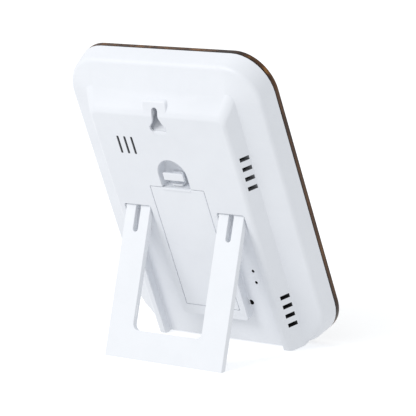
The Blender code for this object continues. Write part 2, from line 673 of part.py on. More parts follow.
def build_latch(door_empty, door_axis):
    """U-shaped spring arm that ends in a finger bar; it bends about the fold next to the door."""
    fold = Vector((0, 17.5 * MM, DOOR_Z[1] + 0.9 * MM))
    axis = new_empty("latch_axis", fold - door_axis, door_empty)
    left, right = LATCH_ARM_X
    bottom = THUMB_FLOOR + 0.4 * MM
    root_z = DOOR_Z[1] + 0.1 * MM + GAP
    riser_z = LATCH_BAR_Z[0] + 1.3 * MM

    def piece(name, x_span, y_span, z_span):
        low = Vector((x_span[0], y_span[0], z_span[0])) - fold
        high = Vector((x_span[1], y_span[1], z_span[1])) - fold
        return box(name, low, high, parent=axis)

    latch = piece("latch_tab", (-LATCH_BAR_HALF, LATCH_BAR_HALF), (DEPTH - 1.3 * MM, DEPTH - 0.1 * MM),
                  LATCH_BAR_Z)
    join(latch, piece("latch_riser", (left, right), (bottom, DEPTH - 0.8 * MM), (riser_z, riser_z + LATCH_T)))
    join(latch, piece("latch_floor", (left - 0.1 * MM, right + 0.1 * MM), (bottom, bottom + LATCH_T),
                      (root_z, riser_z + LATCH_T - 0.1 * MM)))
    join(latch, piece("latch_root", (left + 0.1 * MM, right - 0.1 * MM),
                      (bottom + 0.1 * MM, DEPTH - DOOR_T - 0.5 * MM),
                      (root_z + 0.05 * MM, root_z + LATCH_T)))
    return paint(latch, WHITE, 0.35)


def build_batteries():
    top = BAY_Z[1] - CONTACT_T - GAP
    bottom = BAY_Z[0] + CONTACT_T + GAP
    axis_y = DEPTH - DOOR_T - GAP - CELL_R
    profile = [(0, CELL_BODY + NUB_LENGTH), (NUB_R, CELL_BODY + NUB_LENGTH), (NUB_R, CELL_BODY),
               (CELL_R - 0.5 * MM, CELL_BODY), (CELL_R, CELL_BODY - 0.5 * MM), (CELL_R, 0.5 * MM),
               (CELL_R - 0.5 * MM, 0), (0, 0)]
    first = turned("battery_1", profile, (CELL_X, axis_y, top - GAP - CELL_BODY - NUB_LENGTH))
    paint(first, (0.03, 0.03, 0.03), 0.3)
    second = turned("battery_2", profile, (-CELL_X, axis_y, bottom + GAP + CELL_BODY + NUB_LENGTH),
                    (math.pi, 0, 0))
    paint(second, (0.03, 0.03, 0.03), 0.3)
    for name, x_low, x_high, z_low in (("positive_contact", 1.2 * MM, 14.0 * MM, top),
                                       ("negative_contact", -14.0 * MM, -1.2 * MM, top),
                                       ("bridge_contact", -14.0 * MM, 14.0 * MM, BAY_Z[0] + GAP)):
        contact = box(name, (x_low, axis_y - 5.0 * MM, z_low), (x_high, axis_y + 5.0 * MM, z_low + CONTACT_T))
        paint(contact, STEEL, 0.25, 1.0)
    room = top - bottom - CELL_BODY - NUB_LENGTH - 4 * GAP
    for name, x, start, way in (("spring_1", CELL_X, bottom + GAP, 1), ("spring_2", -CELL_X, top - GAP, -1)):
        points = []
        steps = 14 * SPRING_TURNS
        for step in range(steps + 1):
            share = step / steps
            radius = SPRING_R[0] + (SPRING_R[1] - SPRING_R[0]) * share
            angle = 2 * math.pi * SPRING_TURNS * share
            height = SPRING_WIRE_R + (room - 2 * SPRING_WIRE_R) * share
            points.append((x + radius * math.cos(angle), axis_y + radius * math.sin(angle),
                           start + way * height))
        paint(wire(name, points, SPRING_WIRE_R, 1), STEEL, 0.25, 1.0)


def build_screw(name, x, z, head_y, way):
    """A pan-head screw with the underside of its head at head_y and its shank along way on the Y axis."""
    profile = [(0, SCREW_HEAD_T), (SCREW_HEAD_R * 0.7, SCREW_HEAD_T), (SCREW_HEAD_R, SCREW_HEAD_T * 0.4),
               (SCREW_HEAD_R, 0), (SCREW_SHANK_R, 0), (SCREW_SHANK_R, -4.2 * MM), (0, -4.8 * MM)]
    screw = turned(name, profile, (x, head_y, z), (way * math.pi / 2, 0, 0), 14)
    return paint(screw, STEEL, 0.3, 1.0)


def build_boards():
    y = MAIN_BOARD_Y
    board = box("main_board", (-MAIN_BOARD_HALF, y, MAIN_BOARD_Z[0]),
                (MAIN_BOARD_HALF, y + BOARD_T, MAIN_BOARD_Z[1]))
    number = 0
    for side in (-1, 1):
        for z in BOSS_Z:
            number += 1
            cut(board, cylinder("board_hole", SCREW_HOLE_R, (side * BOSS_X, y - MM, z),
                                (side * BOSS_X, y + BOARD_T + MM, z), 12))
            build_screw("board_screw_%d" % number, side * BOSS_X, z, y + BOARD_T + GAP, -1)
    paint(board, GREEN, 0.5)
    back = y + BOARD_T + GAP
    chip = turned("driver_chip", [(0, 1.6 * MM), (3.5 * MM, 1.4 * MM), (5.5 * MM, 0.7 * MM), (6.0 * MM, 0),
                                  (0, 0)],
                  (-22.0 * MM, back, 112.0 * MM), (-math.pi / 2, 0, 0))
    paint(chip, BLACK, 0.4)
    crystal = cylinder("crystal", 1.0 * MM, (-8.0 * MM, back + 1.0 * MM, 104.0 * MM),
                       (-2.0 * MM, back + 1.0 * MM, 104.0 * MM), 16)
    paint(crystal, STEEL, 0.2, 1.0)
    capacitor = cylinder("capacitor", 2.5 * MM, (33.0 * MM, back, 118.0 * MM),
                         (33.0 * MM, back + 5.0 * MM, 118.0 * MM))
    paint(capacitor, (0.04, 0.05, 0.12), 0.35)
    buzzer_x = BUZZER_SLOTS_X[1]
    buzzer_z = sum(BUZZER_SLOT_Z) / 2
    face = DEPTH - FACE_WALL - GAP
    buzzer = cylinder("buzzer", 8.0 * MM, (buzzer_x, face - 6.0 * MM, buzzer_z), (buzzer_x, face, buzzer_z),
                      28)
    paint(buzzer, BLACK, 0.5)
    return back, buzzer_x, buzzer_z, face - 6.0 * MM


def build_key_board():
    y = KEY_BOARD_Y
    board = box("key_board", (KEY_BOARD_X[0], y, KEY_BOARD_Z[0]),
                (KEY_BOARD_X[1], y + BOARD_T, KEY_BOARD_Z[1]))
    for number, (x, z) in enumerate(KEY_POSTS, 1):
        cut(board, cylinder("key_board_hole", SCREW_HOLE_R, (x, y - MM, z), (x, y + BOARD_T + MM, z), 12))
        build_screw("key_screw_%d" % number, x, z, y - GAP, 1)
    paint(board, GREEN, 0.5)
    base = y + BOARD_T + GAP
    reach = SWITCH_SIZE / 2
    for number, (x, z, _) in enumerate(PINHOLES, 1):
        switch = box("switch_%d" % number, (x - reach, base, z - reach),
                     (x + reach, base + SWITCH_T, z + reach))
        cut(switch, cylinder("switch_bore", PLUNGER_R + GAP, (x, base + 0.8 * MM, z),
                             (x, base + SWITCH_T + MM, z), 20))
        paint(switch, (0.05, 0.05, 0.05), 0.5)
        plunger = cylinder("plunger_%d" % number, PLUNGER_R, (x, base + 2.0 * MM, z), (x, PLUNGER_TIP, z), 20)
        paint(plunger, (0.6, 0.1, 0.05), 0.4)


def build_sensor():
    board = box("sensor_board", (-36.4 * MM, 5.8 * MM, 11.0 * MM), (-35.2 * MM, 14.8 * MM, 31.0 * MM))
    paint(board, GREEN, 0.5)
    sensor = box("humidity_sensor", (-37.9 * MM, 10.6 * MM, 18.0 * MM), (-36.7 * MM, 14.2 * MM, 22.0 * MM))
    paint(sensor, (0.75, 0.75, 0.72), 0.5)


def build_leads(back, buzzer_x, buzzer_z, buzzer_front):
    lead_r = 0.55 * MM
    end_y = back + lead_r
    bay_top = BAY_Z[1] + GAP + lead_r
    for name, side, colour in (("red_lead", 1, (0.55, 0.02, 0.02)), ("black_lead", -1, BLACK)):
        x = side * 10.0 * MM
        route = [(x, 10.0 * MM, bay_top - lead_r), (x, 10.0 * MM, bay_top + 3.5 * MM),
                 (x + side * 1.5 * MM, 10.2 * MM, bay_top + 6.5 * MM),
                 (x + side * 3.0 * MM, 9.4 * MM, bay_top + 9.0 * MM),
                 (x + side * 3.6 * MM, end_y, bay_top + 12.0 * MM)]
        paint(wire(name, smooth_route(route, 1.2 * MM), lead_r, 1), colour, 0.4)
    for number, shift in enumerate((-2.0 * MM, 2.0 * MM), 1):
        x = buzzer_x + shift
        start = buzzer_front - GAP
        route = [(x, start, buzzer_z + 2.0 * MM), (x, start - 1.2 * MM, buzzer_z + 1.0 * MM),
                 (x, start - 1.8 * MM, buzzer_z - 4.0 * MM), (x, end_y + 1.2 * MM, buzzer_z - 8.0 * MM),
                 (x, end_y, buzzer_z - 11.0 * MM)]
        paint(wire("buzzer_lead_%d" % number, smooth_route(route, 1.2 * MM), lead_r * 0.8, 1), BLACK, 0.4)
    route = [(-35.8 * MM, 7.4 * MM, 31.4 * MM), (-37.0 * MM, 7.0 * MM, 38.0 * MM),
             (-44.0 * MM, 6.6 * MM, 52.0 * MM),
             (-45.0 * MM, 7.2 * MM, 72.0 * MM), (-42.0 * MM, end_y + 0.6 * MM, 86.0 * MM),
             (-40.0 * MM, end_y, 92.0 * MM)]
    paint(wire("sensor_lead", smooth_route(route, 2.4 * MM), lead_r, 1), (0.3, 0.3, 0.32), 0.4)
    route = [(-25.0 * MM, 8.8 * MM, 50.6 * MM), (-25.4 * MM, 8.6 * MM, 56.0 * MM),
             (-28.0 * MM, 7.6 * MM, 66.0 * MM),
             (-30.0 * MM, 8.2 * MM, 78.0 * MM), (-30.0 * MM, end_y + 0.8 * MM, 87.0 * MM),
             (-30.0 * MM, end_y, 93.0 * MM)]
    paint(wire("key_lead", smooth_route(route, 2.4 * MM), lead_r, 1), (0.3, 0.3, 0.32), 0.4)


def stand_housing_on_floor():
    """Lean the housing back and put its trimmed lower back edge on z = 0."""
    HOUSING.rotation_euler.x = -LEAN
    edge_z = PLATEAU_BOTTOM + PLATEAU_EDGE_R
    edge_y = DEPTH - PLATEAU_EDGE_R
    lowest = edge_z * math.cos(LEAN) - edge_y * math.sin(LEAN) - PLATEAU_EDGE_R
    HOUSING.location.z = -lowest - FOOT_TRIM


def centre_depth():
    """Move the housing so that the object's bounding box is centred on y = 0."""
    graph = bpy.context.evaluated_depsgraph_get()
    depths = []
    for item in PARTS.objects:
        if item.type == "EMPTY":
            continue
        evaluated = item.evaluated_get(graph)
        mesh = evaluated.to_mesh()
        depths += [(evaluated.matrix_world @ vertex.co).y for vertex in mesh.vertices]
        evaluated.to_mesh_clear()
    HOUSING.location.y = -(min(depths) + max(depths)) / 2


stand_housing_on_floor()
FLOOR = as_cutter(box("floor", (-0.2, -0.3, -0.1), (0.2, 0.3, 0.0), parent=None))
build_front_frame()
build_display()
COVER = build_rear_cover()
boolean(COVER, FLOOR, "DIFFERENCE")
build_battery_door()
build_batteries()
LEAD_ENDS = build_boards()
build_key_board()
build_sensor()
build_leads(*LEAD_ENDS)
build_stand()
centre_depth()
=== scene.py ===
"""Looks for the desk display: finer meshes, procedural materials, stage, lights and camera.

The housing's pieces are made upright in its own axes (X across, Y from the display to the back, Z up along
the panel) and then leaned back by one matrix.  All sizes are in metres.
"""

import json
import math

import bmesh
import bpy
from mathutils import Matrix, Vector


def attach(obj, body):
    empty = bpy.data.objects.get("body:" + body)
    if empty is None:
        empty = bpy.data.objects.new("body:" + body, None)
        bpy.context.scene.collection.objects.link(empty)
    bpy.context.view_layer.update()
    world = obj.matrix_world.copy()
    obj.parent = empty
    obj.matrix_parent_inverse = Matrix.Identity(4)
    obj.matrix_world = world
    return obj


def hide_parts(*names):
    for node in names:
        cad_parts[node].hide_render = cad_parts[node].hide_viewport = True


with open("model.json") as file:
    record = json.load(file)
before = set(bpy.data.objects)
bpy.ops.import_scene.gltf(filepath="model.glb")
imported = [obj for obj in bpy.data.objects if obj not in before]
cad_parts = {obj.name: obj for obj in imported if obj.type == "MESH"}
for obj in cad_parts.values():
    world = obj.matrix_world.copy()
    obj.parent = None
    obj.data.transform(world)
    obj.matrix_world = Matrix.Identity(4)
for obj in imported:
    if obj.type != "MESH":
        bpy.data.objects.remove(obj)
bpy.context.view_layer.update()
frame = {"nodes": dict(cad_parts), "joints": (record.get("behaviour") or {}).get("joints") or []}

MM = 0.001
GAP = 0.3 * MM

# Housing
WIDTH = 112.0 * MM
HEIGHT = 145.8 * MM
DEPTH = 22.1 * MM
CORNER_R = 18.4 * MM
LEAN = math.radians(20.0)
STAND_OPEN = math.radians(38.0)
FRAME_T = 2.7 * MM
WINDOW_HALF = 44.0 * MM
WINDOW_Z = (19.0 * MM, 132.0 * MM)
WINDOW_REBATE = 1.3 * MM
WINDOW_LIP = 2.0 * MM
WINDOW_R = 3.0 * MM
TONGUE_T = 1.2 * MM                             # the tongue is the front frame's rim inside the cover
TONGUE_END = 5.0 * MM
WALL = 1.8 * MM
SHOULDER_Y = 12.66 * MM
SIDE_DRAFT = 1.2 * MM
TOP_DRAFT = 2.2 * MM
SHOULDER_R = 2.2 * MM
SHOULDER_TURN = 74.0
PLATEAU_BASE_Y = 15.5 * MM
PLATEAU_HALF = (42.9 * MM, 38.65 * MM)
PLATEAU_TOP = (131.9 * MM, 122.8 * MM)
PLATEAU_BOTTOM = 1.0 * MM
PLATEAU_ROOT = 3.0 * MM
PLATEAU_R = 4.0 * MM
PLATEAU_EDGE_R = 1.4 * MM
FACE_WALL = 1.6 * MM

# Channel, bay, recess and keyhole
CHANNEL_HALF = 35.0 * MM
CHANNEL_TOP = 73.6 * MM
CHANNEL_FLOOR = DEPTH - 4.3 * MM
ISLAND_HALF = 19.3 * MM
ISLAND_BOTTOM = 15.7 * MM
ISLAND_R = 2.0 * MM
BAY_HALF = 15.0 * MM
BAY_Z = (22.5 * MM, 83.0 * MM)
BAY_FLOOR = 6.0 * MM
BAY_WALL = 1.4 * MM
BAY_END_WALL = 3.1 * MM
DOOR_HALF = 15.5 * MM
DOOR_Z = (21.1 * MM, 84.5 * MM)
DOOR_T = 1.4 * MM
DOOR_EDGE_R = 0.25 * MM
DOOR_TAB_X = 8.0 * MM
DOOR_TAB_WIDTH = 4.0 * MM
TAB_SLOT = (16.6 * MM, 4.2 * MM)                # floor, reach below the bay
LEAD_HOLE = (1.1 * MM, 10.0 * MM, 10.0 * MM)    # radius, X, Y
THUMB_R = 8.3 * MM
THUMB_CENTRE_Z = 91.0 * MM
THUMB_FLOOR = 16.6 * MM
LATCH_BAR_HALF = 5.8 * MM
LATCH_BAR_Z = (88.6 * MM, 92.3 * MM)
LATCH_ARM_X = (-2.5 * MM, 3.5 * MM)
LATCH_T = 1.0 * MM
KEY_BOTTOM = 114.1 * MM
KEY_BELL_HALF = 4.8 * MM
KEY_CORNER_R = 1.5 * MM
KEY_FLANK_R = 7.0 * MM
KEY_FLANK_Z = 122.5 * MM
KEY_FLANK_END = 235.0
KEY_SLOT_HALF = 1.7 * MM
KEY_SLOT_TOP = 125.9 * MM
KEY_RAMP = (4.0 * MM, 0.9 * MM, 2.4 * MM)
KEY_POCKET_FLOOR = 13.0 * MM
KEY_POCKET = (6.0 * MM, 112.6 * MM, 127.0 * MM)
KEY_SLOPE = ((13.0 * MM, 120.5 * MM), (19.4 * MM, 115.2 * MM), (20.9 * MM, 114.0 * MM))
KEY_PAD = (6.8 * MM, 121.9 * MM, 128.6 * MM)
KEY_PAD_DROP = 2.0 * MM
BUZZER_SLOTS_X = (17.9 * MM, 21.95 * MM, 26.0 * MM)
BUZZER_SLOT_Z = (101.4 * MM, 110.1 * MM)
BUZZER_SLOT_WIDTH = 1.0 * MM
VENT_GROUPS_Z = (93.95 * MM, 21.75 * MM)
VENT_PITCH = 4.9 * MM
VENTS_IN_GROUP = 4
VENT_SIZE = (3.9 * MM, 2.0 * MM)
VENT_Y = 17.95 * MM
PINHOLES = ((-26.8 * MM, 41.0 * MM, 0.65 * MM), (-26.8 * MM, 34.9 * MM, 0.65 * MM),
            (-20.4 * MM, 23.5 * MM, 1.2 * MM))

# Cells
CELL_R = 7.1 * MM
CELL_X = 7.45 * MM
CELL_BODY = 49.5 * MM
NUB_R = 2.75 * MM
NUB_LENGTH = 1.0 * MM
CELL_CRIMP_R = 6.15 * MM                        # inside this radius the metal is bare
CONTACT_T = 0.4 * MM
CELL_Y = DEPTH - DOOR_T - GAP - CELL_R
CELL_LOW = BAY_Z[0] + CONTACT_T + 2 * GAP
CELL_HIGH = BAY_Z[1] - CONTACT_T - 2 * GAP
BAND = 14.0 * MM                                # height of the paler band of the sleeve
BAND_EDGE = 0.2 * MM

# Stand
PIVOT_Y = 20.4 * MM
PIVOT_Z = 71.8 * MM
STAND_T = 2.8 * MM
STAND_HALF = 34.3 * MM
STAND_INNER = 20.0 * MM
STAND_LENGTH = 72.0 * MM
CROSSBAR_TOP = 56.7 * MM
OPENING_R = 3.0 * MM
FLEX_SLOT = (2.8 * MM, 13.4 * MM)
TRUNNION_R = 1.0 * MM
TRUNNION_LENGTH = 1.6 * MM
TRUNNION_HOLE_R = 1.15 * MM
DETENT = (0.4 * MM, 45.0 * MM, 51.0 * MM)

# Rounding of rims
RIM_R = 0.35 * MM
FLOOR_R = 0.5 * MM
FRONT_EDGE = 0.4 * MM
QUARTER_ROUND = ((-1.0, 0.0), (-0.6, 0.08), (-0.29, 0.29), (-0.08, 0.6),
                 (0.0, 1.0))    # (growth, depth) shares
PAD_RIM = ((0.6 * MM, 0.0), (0.35 * MM, -0.06 * MM), (0.18 * MM, -0.18 * MM), (0.05 * MM, -0.36 * MM),
           (0.0, -0.6 * MM))                    # (depth, growth) of the key pad's rim

# Material slots of the rear cover; the first holds its own plastic, the other two hold painted shade,
# near-black and grey, for the insides of hollows and openings
PAINTED_SHADE_SLOT = 1
PAINTED_HALF_SHADE_SLOT = 2
SLOT_COUNT = 3

# Stage: angles in degrees, powers in watts, lens in millimetres
CAMERA_TURN = (219.08, 11.36, -2.95)            # azimuth, elevation, roll
CAMERA_AIM = (-0.0042, -0.0004, 0.0661)
CAMERA_DISTANCE = 1.188
CAMERA_LENS = 225.0
CAMERA_SENSOR = 36.0
LAMP_TURN = (157.0, 38.0)                       # azimuth, elevation
LAMP_DISTANCE = 1.8
LAMP_SIZE = 0.9
LAMP_POWER = 11.5
LAMP_COLOUR = (1.0, 0.99, 0.98)
WORLD_COLOUR = (0.97, 0.985, 1.0, 1.0)
WORLD_STRENGTH = 0.82
FLOOR_HALF = 12.0
FLOOR_DROP = 0.0002
FLOOR_GLOW = 0.3                                # keeps the floor as white as the photo's background

PIVOT = Vector(next(joint["pos_m"] for joint in frame["joints"] if joint["name"] == "stand_hinge"))
TURN = Matrix.Rotation(-LEAN, 4, "X")
HOUSING = Matrix.Translation(PIVOT - TURN @ Vector((0, PIVOT_Y, PIVOT_Z))) @ TURN
STAND_AXIS = HOUSING @ Matrix.Translation((0, PIVOT_Y, PIVOT_Z)) @ Matrix.Rotation(STAND_OPEN, 4, "X")


# ---------------------------------------------------------------- mesh helpers

def link(name, mesh, matrix=HOUSING):
    item = bpy.data.objects.new(name, mesh)
    bpy.context.scene.collection.objects.link(item)
    item.matrix_world = matrix
    return item


def mesh_from(name, shape):
    bmesh.ops.recalc_face_normals(shape, faces=shape.faces)
    mesh = bpy.data.meshes.new(name)
    shape.to_mesh(mesh)
    shape.free()
    return mesh


def rounded_outline(x_low, x_high, z_low, z_high, radii, steps=10):
    """Corner radii run bottom left, bottom right, top right, top left."""
    corners = ((x_low, z_low, 1, 1, 180), (x_high, z_low, -1, 1, 270),
               (x_high, z_high, -1, -1, 0), (x_low, z_high, 1, -1, 90))
    points = []
    for (x, z, side_x, side_z, start), radius in zip(corners, radii):
        centre_x = x + side_x * radius
        centre_z = z + side_z * radius
        for step in range(steps + 1):
            angle = math.radians(start + 90.0 * step / steps)
            points.append((centre_x + radius * math.cos(angle), centre_z + radius * math.sin(angle)))
    return points


def circle(x, z, radius, steps=32):
    turns = [2 * math.pi * step / steps for step in range(steps)]
    return [(x + radius * math.cos(turn), z + radius * math.sin(turn)) for turn in turns]


def skin(name, loops, matrix):
    """A closed solid through loops of points of equal length."""
    shape = bmesh.new()
    loops = [[shape.verts.new(point) for point in loop] for loop in loops]
    for lower, upper in zip(loops, loops[1:]):
        for index in range(len(lower)):
            following = (index + 1) % len(lower)
            shape.faces.new((lower[index], lower[following], upper[following], upper[index]))
    shape.faces.new(loops[0])
    shape.faces.new(loops[-1])
    return link(name, mesh_from(name, shape), matrix)


def loft(name, rings, matrix=HOUSING):
    """A solid through outlines in X and Z, each given with its Y."""
    return skin(name, [[(x, y, z) for x, z in outline] for outline, y in rings], matrix)


def turned(name, profile, matrix, segments=48):
    """A turned solid from (radius, height) pairs, with its axis along the matrix's Z."""
    turns = [2 * math.pi * step / segments for step in range(segments)]
    loops = [[(radius * math.cos(turn), radius * math.sin(turn), height) for turn in turns]
             for radius, height in profile]
    return skin(name, loops, matrix)


def block(name, low, high, matrix=HOUSING, rounding=0.0):
    low, high = Vector(low), Vector(high)
    shape = bmesh.new()
    bmesh.ops.create_cube(shape, size=1.0)
    bmesh.ops.scale(shape, vec=high - low, verts=shape.verts)
    bmesh.ops.translate(shape, vec=(low + high) / 2, verts=shape.verts)
    if rounding:
        bmesh.ops.bevel(shape, geom=list(shape.edges), offset=rounding, segments=3, profile=0.5,
                        affect="EDGES")
    return link(name, mesh_from(name, shape), matrix)


def bar(name, radius, start, end, segments=32, matrix=HOUSING):
    start, end = Vector(start), Vector(end)
    shape = bmesh.new()
    length = (end - start).length
    bmesh.ops.create_cone(shape, cap_ends=True, segments=segments, radius1=radius, radius2=radius,
                          depth=length)
    bmesh.ops.translate(shape, vec=(0, 0, length / 2), verts=shape.verts)
    turn = (end - start).to_track_quat("Z", "Y").to_matrix()
    bmesh.ops.rotate(shape, cent=(0, 0, 0), matrix=turn, verts=shape.verts)
    bmesh.ops.translate(shape, vec=start, verts=shape.verts)
    return link(name, mesh_from(name, shape), matrix)


def boolean(target, other, operation):
    """Applies the operation at once and removes the other object."""
    modifier = target.modifiers.new(other.name, "BOOLEAN")
    modifier.operation = operation
    modifier.solver = "EXACT"
    modifier.object = other
    apply_modifiers(target)
    bpy.data.objects.remove(other, do_unlink=True)
    return target


def cut(target, *others):
    for other in others:
        boolean(target, other, "DIFFERENCE")
    return target


def join(target, *others):
    for other in others:
        boolean(target, other, "UNION")
    return target


def set_slot(item, index):
    """Gives every face of a cutter the material slot that the surface it leaves will have."""
    item.data.materials.clear()
    for _ in range(SLOT_COUNT):
        item.data.materials.append(None)
    for face in item.data.polygons:
        face.material_index = index
    return item


def apply_modifiers(item):
    bpy.context.view_layer.update()
    evaluated = item.evaluated_get(bpy.context.evaluated_depsgraph_get())
    mesh = bpy.data.meshes.new_from_object(evaluated)
    item.modifiers.clear()
    item.data = mesh
    return item


def round_edges(item, width, segments=3, angle=40.0):
    modifier = item.modifiers.new("edges", "BEVEL")
    modifier.width = width
    modifier.segments = segments
    modifier.limit_method = "ANGLE"
    modifier.angle_limit = math.radians(angle)
    return apply_modifiers(item)


def finish_surface(item, angle=35.0):
    """Smooth shading that keeps flat faces flat and real edges sharp."""
    shape = bmesh.new()
    shape.from_mesh(item.data)
    bmesh.ops.dissolve_degenerate(shape, dist=0.000001, edges=shape.edges)
    shape.to_mesh(item.data)
    shape.free()
    item.data.shade_smooth()
    item.data.set_sharp_from_angle(angle=math.radians(angle))
    modifier = item.modifiers.new("normals", "WEIGHTED_NORMAL")
    modifier.keep_sharp = True
    item.data.transform(item.matrix_world)
    item.matrix_world = Matrix.Identity(4)
    return item


def rim_levels(radius, steps=4):
    """(depth below the face, growth) pairs of a convex quarter-round rim."""
    levels = []
    for step in range(steps + 1):
        angle = math.radians(90.0 * step / steps)
        levels.append((radius * (1 - math.sin(angle)), radius * (1 - math.cos(angle))))
    return levels


def pocket(name, outline, floor, rim=RIM_R, fillet=FLOOR_R, face=DEPTH, past=1.0 * MM, matrix=HOUSING):
    """A cutter with a rounded rim at the face and a filleted floor; outline(grow) gives its shape."""
    rings = []
    steps = 3
    for step in range(steps + 1):
        angle = math.radians(90.0 * step / steps)
        rings.append((outline(-fillet * (1 - math.sin(angle))), floor + fillet * (1 - math.cos(angle))))
    rings += [(outline(grow), face - depth) for depth, grow in rim_levels(rim)]
    rings.append((outline(rim * 1.02), face + past))
    return loft(name, rings, matrix)


# ---------------------------------------------------------------- rear cover

def shell_rings(half, top, bottom, corners, y_span, edge_r, inset=0.0, steps=6, turn=90.0):
    """Outlines of a drafted block with a rounded rim; half and top are (start, end) pairs."""
    y_start, y_end = y_span
    levels = [(y_start, 0.0)]
    for step in range(steps + 1):
        angle = math.radians(turn * step / steps)
        levels.append((y_end - edge_r + edge_r * math.sin(angle), edge_r * (1 - math.cos(angle))))
    rings = []
    for y, rounding in levels:
        share = (y - y_start) / (y_end - y_start)
        side = half[0] + (half[1] - half[0]) * share - inset - rounding
        upper = top[0] + (top[1] - top[0]) * share - inset - rounding
        radii = [max(radius - inset - rounding, 0.2 * MM) for radius in corners]
        rings.append((rounded_outline(-side, side, bottom + inset + rounding, upper, radii), y))
    return rings


def sloped_shoulder(inset=0.0):
    half = PLATEAU_HALF[0] - inset
    radii = [MM, MM, PLATEAU_R + MM, PLATEAU_R + MM]
    outline = rounded_outline(-half, half, SHOULDER_R + inset, PLATEAU_TOP[0] - inset, radii)
    return outline, PLATEAU_BASE_Y - inset


def arc_points(centre_x, centre_z, radius, start, end, steps=6):
    points = []
    for step in range(steps + 1):
        angle = math.radians(start + (end - start) * step / steps)
        points.append((centre_x + radius * math.cos(angle), centre_z + radius * math.sin(angle)))
    return points


def channel_outline(grow):
    """U-shaped outline of the stand's channel, grown outwards into its walls."""
    outer = CHANNEL_HALF + grow
    island = ISLAND_HALF - grow
    top = CHANNEL_TOP + grow
    bottom = ISLAND_BOTTOM + grow
    corner = 0.9 * MM + grow
    inner = ISLAND_R - grow
    right = ([(outer, -2 * MM)] + arc_points(outer - corner, top - corner, corner, 0, 90)
             + arc_points(island + corner, top - corner, corner, 90, 180)
             + arc_points(island - inner, bottom + inner, inner, 0, -90))
    left = [(-x, z) for x, z in reversed(right)]
    return right + left


def thumb_outline(grow):
    low = DOOR_Z[1] + 0.1 * MM
    radius = THUMB_R + grow
    return [(-radius, low), (radius, low)] + arc_points(0, THUMB_CENTRE_Z, radius, 0, 180, 24)


def door_seat_outline(grow):
    reach = DOOR_HALF + GAP + grow
    return rounded_outline(-reach, reach, DOOR_Z[0] - GAP - grow, DOOR_Z[1] + GAP + grow,
                           [0.5 * MM + grow] * 4, 4)


def keyhole_outline():
    """A bell below a round-ended slot."""
    corner = KEY_BELL_HALF - KEY_CORNER_R
    right = arc_points(corner, KEY_BOTTOM + KEY_CORNER_R, KEY_CORNER_R, -90, 20, 8)
    right += arc_points(KEY_SLOT_HALF + KEY_FLANK_R, KEY_FLANK_Z, KEY_FLANK_R, KEY_FLANK_END, 180, 16)
    right += arc_points(0, KEY_SLOT_TOP - KEY_SLOT_HALF, KEY_SLOT_HALF, 0, 85, 6)
    return right + [(-x, z) for x, z in reversed(right)]


def build_cavity(half, top, corners):
    """Inside of the cover, less the blocks that carry the channel, bay and thumb recess."""
    rings = shell_rings(half, top, 0, [CORNER_R] * 4, (FRAME_T, SHOULDER_Y - WALL), 0.6 * MM, inset=WALL,
                        steps=2)
    inside = loft("cavity", rings + [sloped_shoulder(WALL)])
    rings = shell_rings(PLATEAU_HALF, PLATEAU_TOP, PLATEAU_BOTTOM, corners,
                        (PLATEAU_BASE_Y - WALL, DEPTH - FACE_WALL), 0.4 * MM, inset=WALL * 1.3, steps=2)
    root = [(outline, y - PLATEAU_ROOT) for outline, y in rings[:1]]
    join(inside, loft("plateau_cavity", root + rings))
    past = DEPTH + 3 * MM
    wall = channel_outline(WALL)
    cut(inside, loft("channel_walls", [(wall, CHANNEL_FLOOR - WALL), (wall, past)]))
    cut(inside, block("bay_walls", (-BAY_HALF - BAY_WALL, BAY_FLOOR - 1.0 * MM, BAY_Z[0] - BAY_END_WALL),
                      (BAY_HALF + BAY_WALL, past, BAY_Z[1] + BAY_END_WALL)))
    cut(inside, block("thumb_walls", (-THUMB_R - BAY_WALL, THUMB_FLOOR - BAY_WALL, BAY_Z[1] + 0.7 * MM),
                      (THUMB_R + BAY_WALL, past, THUMB_CENTRE_Z + THUMB_R + BAY_WALL)))
    pocket_half, pocket_low, pocket_high = KEY_POCKET
    cut(inside, block("key_walls", (-pocket_half - BAY_WALL, KEY_POCKET_FLOOR - BAY_WALL,
                                    pocket_low - BAY_WALL),
                      (pocket_half + BAY_WALL, past, pocket_high + BAY_WALL)))
    # The cavity's faces become the cover's inside, painted near-black as shade so that it looks dark through
    # openings
    return set_slot(inside, PAINTED_SHADE_SLOT)


def build_key_pad():
    """The raised pad round the slot, whose face slopes down towards its top."""
    half, low, high = KEY_PAD
    base = 6.0 * MM
    corner = 1.6 * MM

    def outline(grow):
        radii = [MM, MM, corner + grow, corner + grow]
        return rounded_outline(-half - grow, half + grow, low - 2 * MM, high + grow, radii, 6)

    slope = KEY_PAD_DROP / (high - low)
    loops = [(outline(0.6 * MM), DEPTH - base)]
    loops += [(outline(grow), DEPTH - depth) for depth, grow in PAD_RIM]
    pad = loft("key_pad", loops)
    for vertex in pad.data.vertices:
        if vertex.co.y > DEPTH - base / 2:
            vertex.co.y -= max(0.0, vertex.co.z - low) * slope + 0.01 * MM
    return pad


